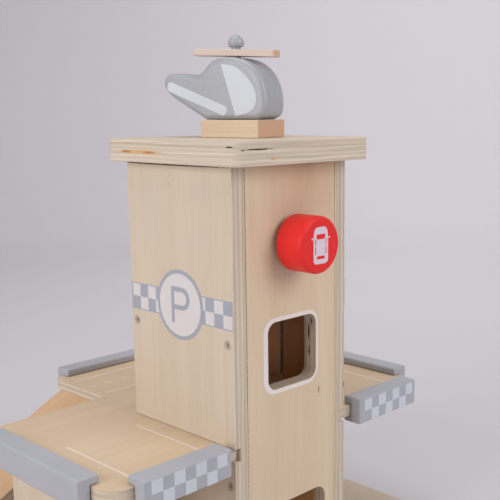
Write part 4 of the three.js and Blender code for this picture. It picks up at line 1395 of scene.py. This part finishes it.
for reach in bay_lines:
    bay_x = middle("deck_plate").x / MM + reach
    deck_line("bay line", bay_x - line_half, bay_x + line_half, bay_front, bay_rear)
for road_y in road_edges:
    deck_line("road edge", road_start, road_end, road_y - line_half, road_y + line_half)
dash_place = face_place((road_start - line_half, road_middle - line_half, deck_top),
                        upward=(0, 1, 0))
deck_marks.append(row_of_marks("road dashes", dash_place,
                               int((road_end - road_start) / dash_pitch), 1, dash_pitch,
                               dash_length, line_width, deck_ink))
for name, marks, ink, slot in (("white_prints", white_marks, white_ink, "white_print"),
                               ("window_border_print", [window_border], lightened_border_ink, "white_print"),
                               ("grey_prints", grey_marks, grey_ink, "grey_print"),
                               ("deck_prints", deck_marks, deck_ink, "white_print"),
                               ("kerb_prints", kerb_marks, cool_ink, "white_print")):
    piece(name, joined(name, marks), ink, "garage")
print("marks:", sum(len(marks) for marks in (white_marks, grey_marks, deck_marks, kerb_marks)))

# %% [markdown]
# The knob carries a small car seen from above, so a child knows what turning it moves. It is a
# common sign drawn in plain shapes: a rounded body with two windows, side slits and mirrors.

# %% Car sign on the knob
car_half = 7.6
car_front = 13.0
car_rear = -13.0
car_shoulder = 5.5
knob_middle = middle("lift_knob") / MM
knob_face = face_place((knob_middle.x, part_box("lift_knob")[0].y / MM, knob_middle.z))
car_sign = [rounded([
    (-car_half, car_rear, 3.2), (car_half, car_rear, 3.2), (car_half, car_shoulder, 6),
    (car_half - 1.1, car_front, 4.2), (1.1 - car_half, car_front, 4.2),
    (-car_half, car_shoulder, 6)], 8)]
windscreen = [(-4.1, 4.4, 0.6), (4.1, 4.4, 0.6), (5.0, 7.9, 0.9), (-5.0, 7.9, 0.9)]
rear_window = [(-4.4, -9.6, 0.6), (4.4, -9.6, 0.6), (3.7, -7.4, 0.6), (-3.7, -7.4, 0.6)]
car_sign += [rounded(windscreen, 5), rounded(rear_window, 5)]
for way in (-1, 1):
    for inner, outer, low, high, radius in (
            (5.0, 5.9, -6.2, -0.6, 0.4), (5.0, 5.9, 0.4, 4.6, 0.4),
            (car_half + 0.35, car_half + 2.0, 4.4, 5.7, 0.5)):
        near, far = sorted((way * inner, way * outer))
        car_sign.append(rectangle(near, far, low, high, radius, 4))
piece("car_sign", inked("car sign", car_sign, knob_face), knob_ink, "winder")
print("car sign", 2 * car_half, "x", car_front - car_rear, "mm")

# %% Window and tail stripe of the helicopter, on both of its sides
stripe_tail = Vector((-54.6, 37.4))
stripe_nose = Vector((-8.2, 19.9))
stripe_half = 3.6
window_curve = [Vector(p) for p in (
    (-9, 53), (0, 52), (7.5, 48.3), (14.8, 41.5), (19.3, 34.8), (20.8, 28), (18.8, 21.8),
    (12.5, 17.7), (2.9, 15.9),
)]
cabin_window = window_curve[:1] + smooth_through(window_curve, 6)
stripe_way = (stripe_nose - stripe_tail).normalized() * stripe_half
stripe_side = Vector((-stripe_way.y, stripe_way.x))
stripe_corners = [stripe_tail - stripe_way - stripe_side, stripe_nose + stripe_way - stripe_side,
                  stripe_nose + stripe_way + stripe_side, stripe_tail - stripe_way + stripe_side]
tail_stripe = rounded([(p.x, p.y, 3.0) for p in stripe_corners], 8)
heli_marks = []
for way in (-1, 1):
    side_place = heli_place @ Matrix.Translation((0, way * body_width / 2 * MM, 0)) \
        @ Matrix(((-way, 0, 0, 0), (0, 0, way, 0), (0, 1, 0, 0), (0, 0, 0, 1))) \
        @ Matrix.Scale(MM, 4)
    outlines = [[(-way * x, y) for x, y in outline] for outline in (cabin_window, tail_stripe)]
    heli_marks.append(inked("helicopter print", outlines, side_place))
piece("helicopter_prints", joined("helicopter prints", heli_marks), cool_ink, "helicopter")
print("helicopter marks:", len(heli_marks))

# %% [markdown]
# ## The lift cord
# A thin twisted cotton cord hangs from the spool to a bead under the lift's bridge. The packed
# model holds it rigid; here its free stretch is three strands laid round each other, left where
# the packed cord hangs. Its turns on the spool are a spiral, swept by Geometry Nodes.

# %% Cord
cord_radius = 0.8
cord_low, cord_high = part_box("lift_cord")
cord_axis = Vector(((cord_low.x + cord_high.x) / 2, (cord_low.y + cord_high.y) / 2, 0))
spool_middle = middle("cord_spool")
strand_radius = 0.42
strand_offset = 0.38
lay_length = 4.5


def twisted_cord(name, low, high, axis, strands=3, sides=8, step=0.5):
    """Three strands laid round each other, as one mesh of closed tubes."""
    shape = bmesh.new()
    count = int((high - low) / step)
    for s in range(strands):
        rings = []
        for k in range(count + 1):
            z = low + (high - low) * k / count
            angle = full_turn * (s / strands + z / lay_length)
            heart = Vector((math.cos(angle), math.sin(angle), 0)) * strand_offset
            rings.append(ring(shape, strand_radius, z, sides, heart))
        skin(shape, rings)
        shape.faces.new(rings[0][::-1])
        shape.faces.new(rings[-1])
    return closed_mesh(name, shape, Matrix.Translation(axis))


free_cord = in_scene("free_cord", twisted_cord("free cord", cord_low.z / MM, cord_high.z / MM,
                                               cord_axis))
free_cord.data.materials.append(cotton)
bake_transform(free_cord)
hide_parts("lift_cord")


def cord_winder():
    """A cord of a given radius wound in a spiral, with closed ends."""
    tree, given = new_tree(
        "wind cord", "GeometryNodeTree",
        {"Geometry": "Geometry", "Turns": "Float", "Winding radius": "Float", "Width": "Float",
         "Cord radius": "Float", "Finish": "Material"}, {"Geometry": "Geometry"})
    spiral = add(tree, "GeometryNodeCurveSpiral", {
        "Resolution": 48, "Rotations": given["Turns"], "Start Radius": given["Winding radius"],
        "End Radius": given["Winding radius"], "Height": given["Width"]})
    section = add(tree, "GeometryNodeCurvePrimitiveCircle", {"Resolution": 12,
                                                             "Radius": given["Cord radius"]})
    tube = add(tree, "GeometryNodeCurveToMesh", {"Curve": spiral, "Profile Curve": section,
                                                 "Fill Caps": True})
    return close_tree(tree, add(tree, "GeometryNodeSetShadeSmooth", tube), given["Finish"])


winding_turns = 3.0
winding_gap = 0.05
winding_width = winding_turns * (2 * cord_radius + winding_gap)
winding_radius = spool_core + cord_radius + winding_gap
winding = made_by_nodes("wound cord", cord_winder(), Turns=winding_turns,
                        Winding_radius=winding_radius, Width=winding_width,
                        Cord_radius=cord_radius, Finish=cotton)
winding.transform(Matrix.Translation((spool_middle.x, cord_axis.y, spool_middle.z))
                  @ Matrix.Rotation(math.pi / 2, 4, "X") @ Matrix.Scale(MM, 4))
piece("wound_cord", winding, cotton, "winder")
print("cord turns on the spool:", winding_turns)
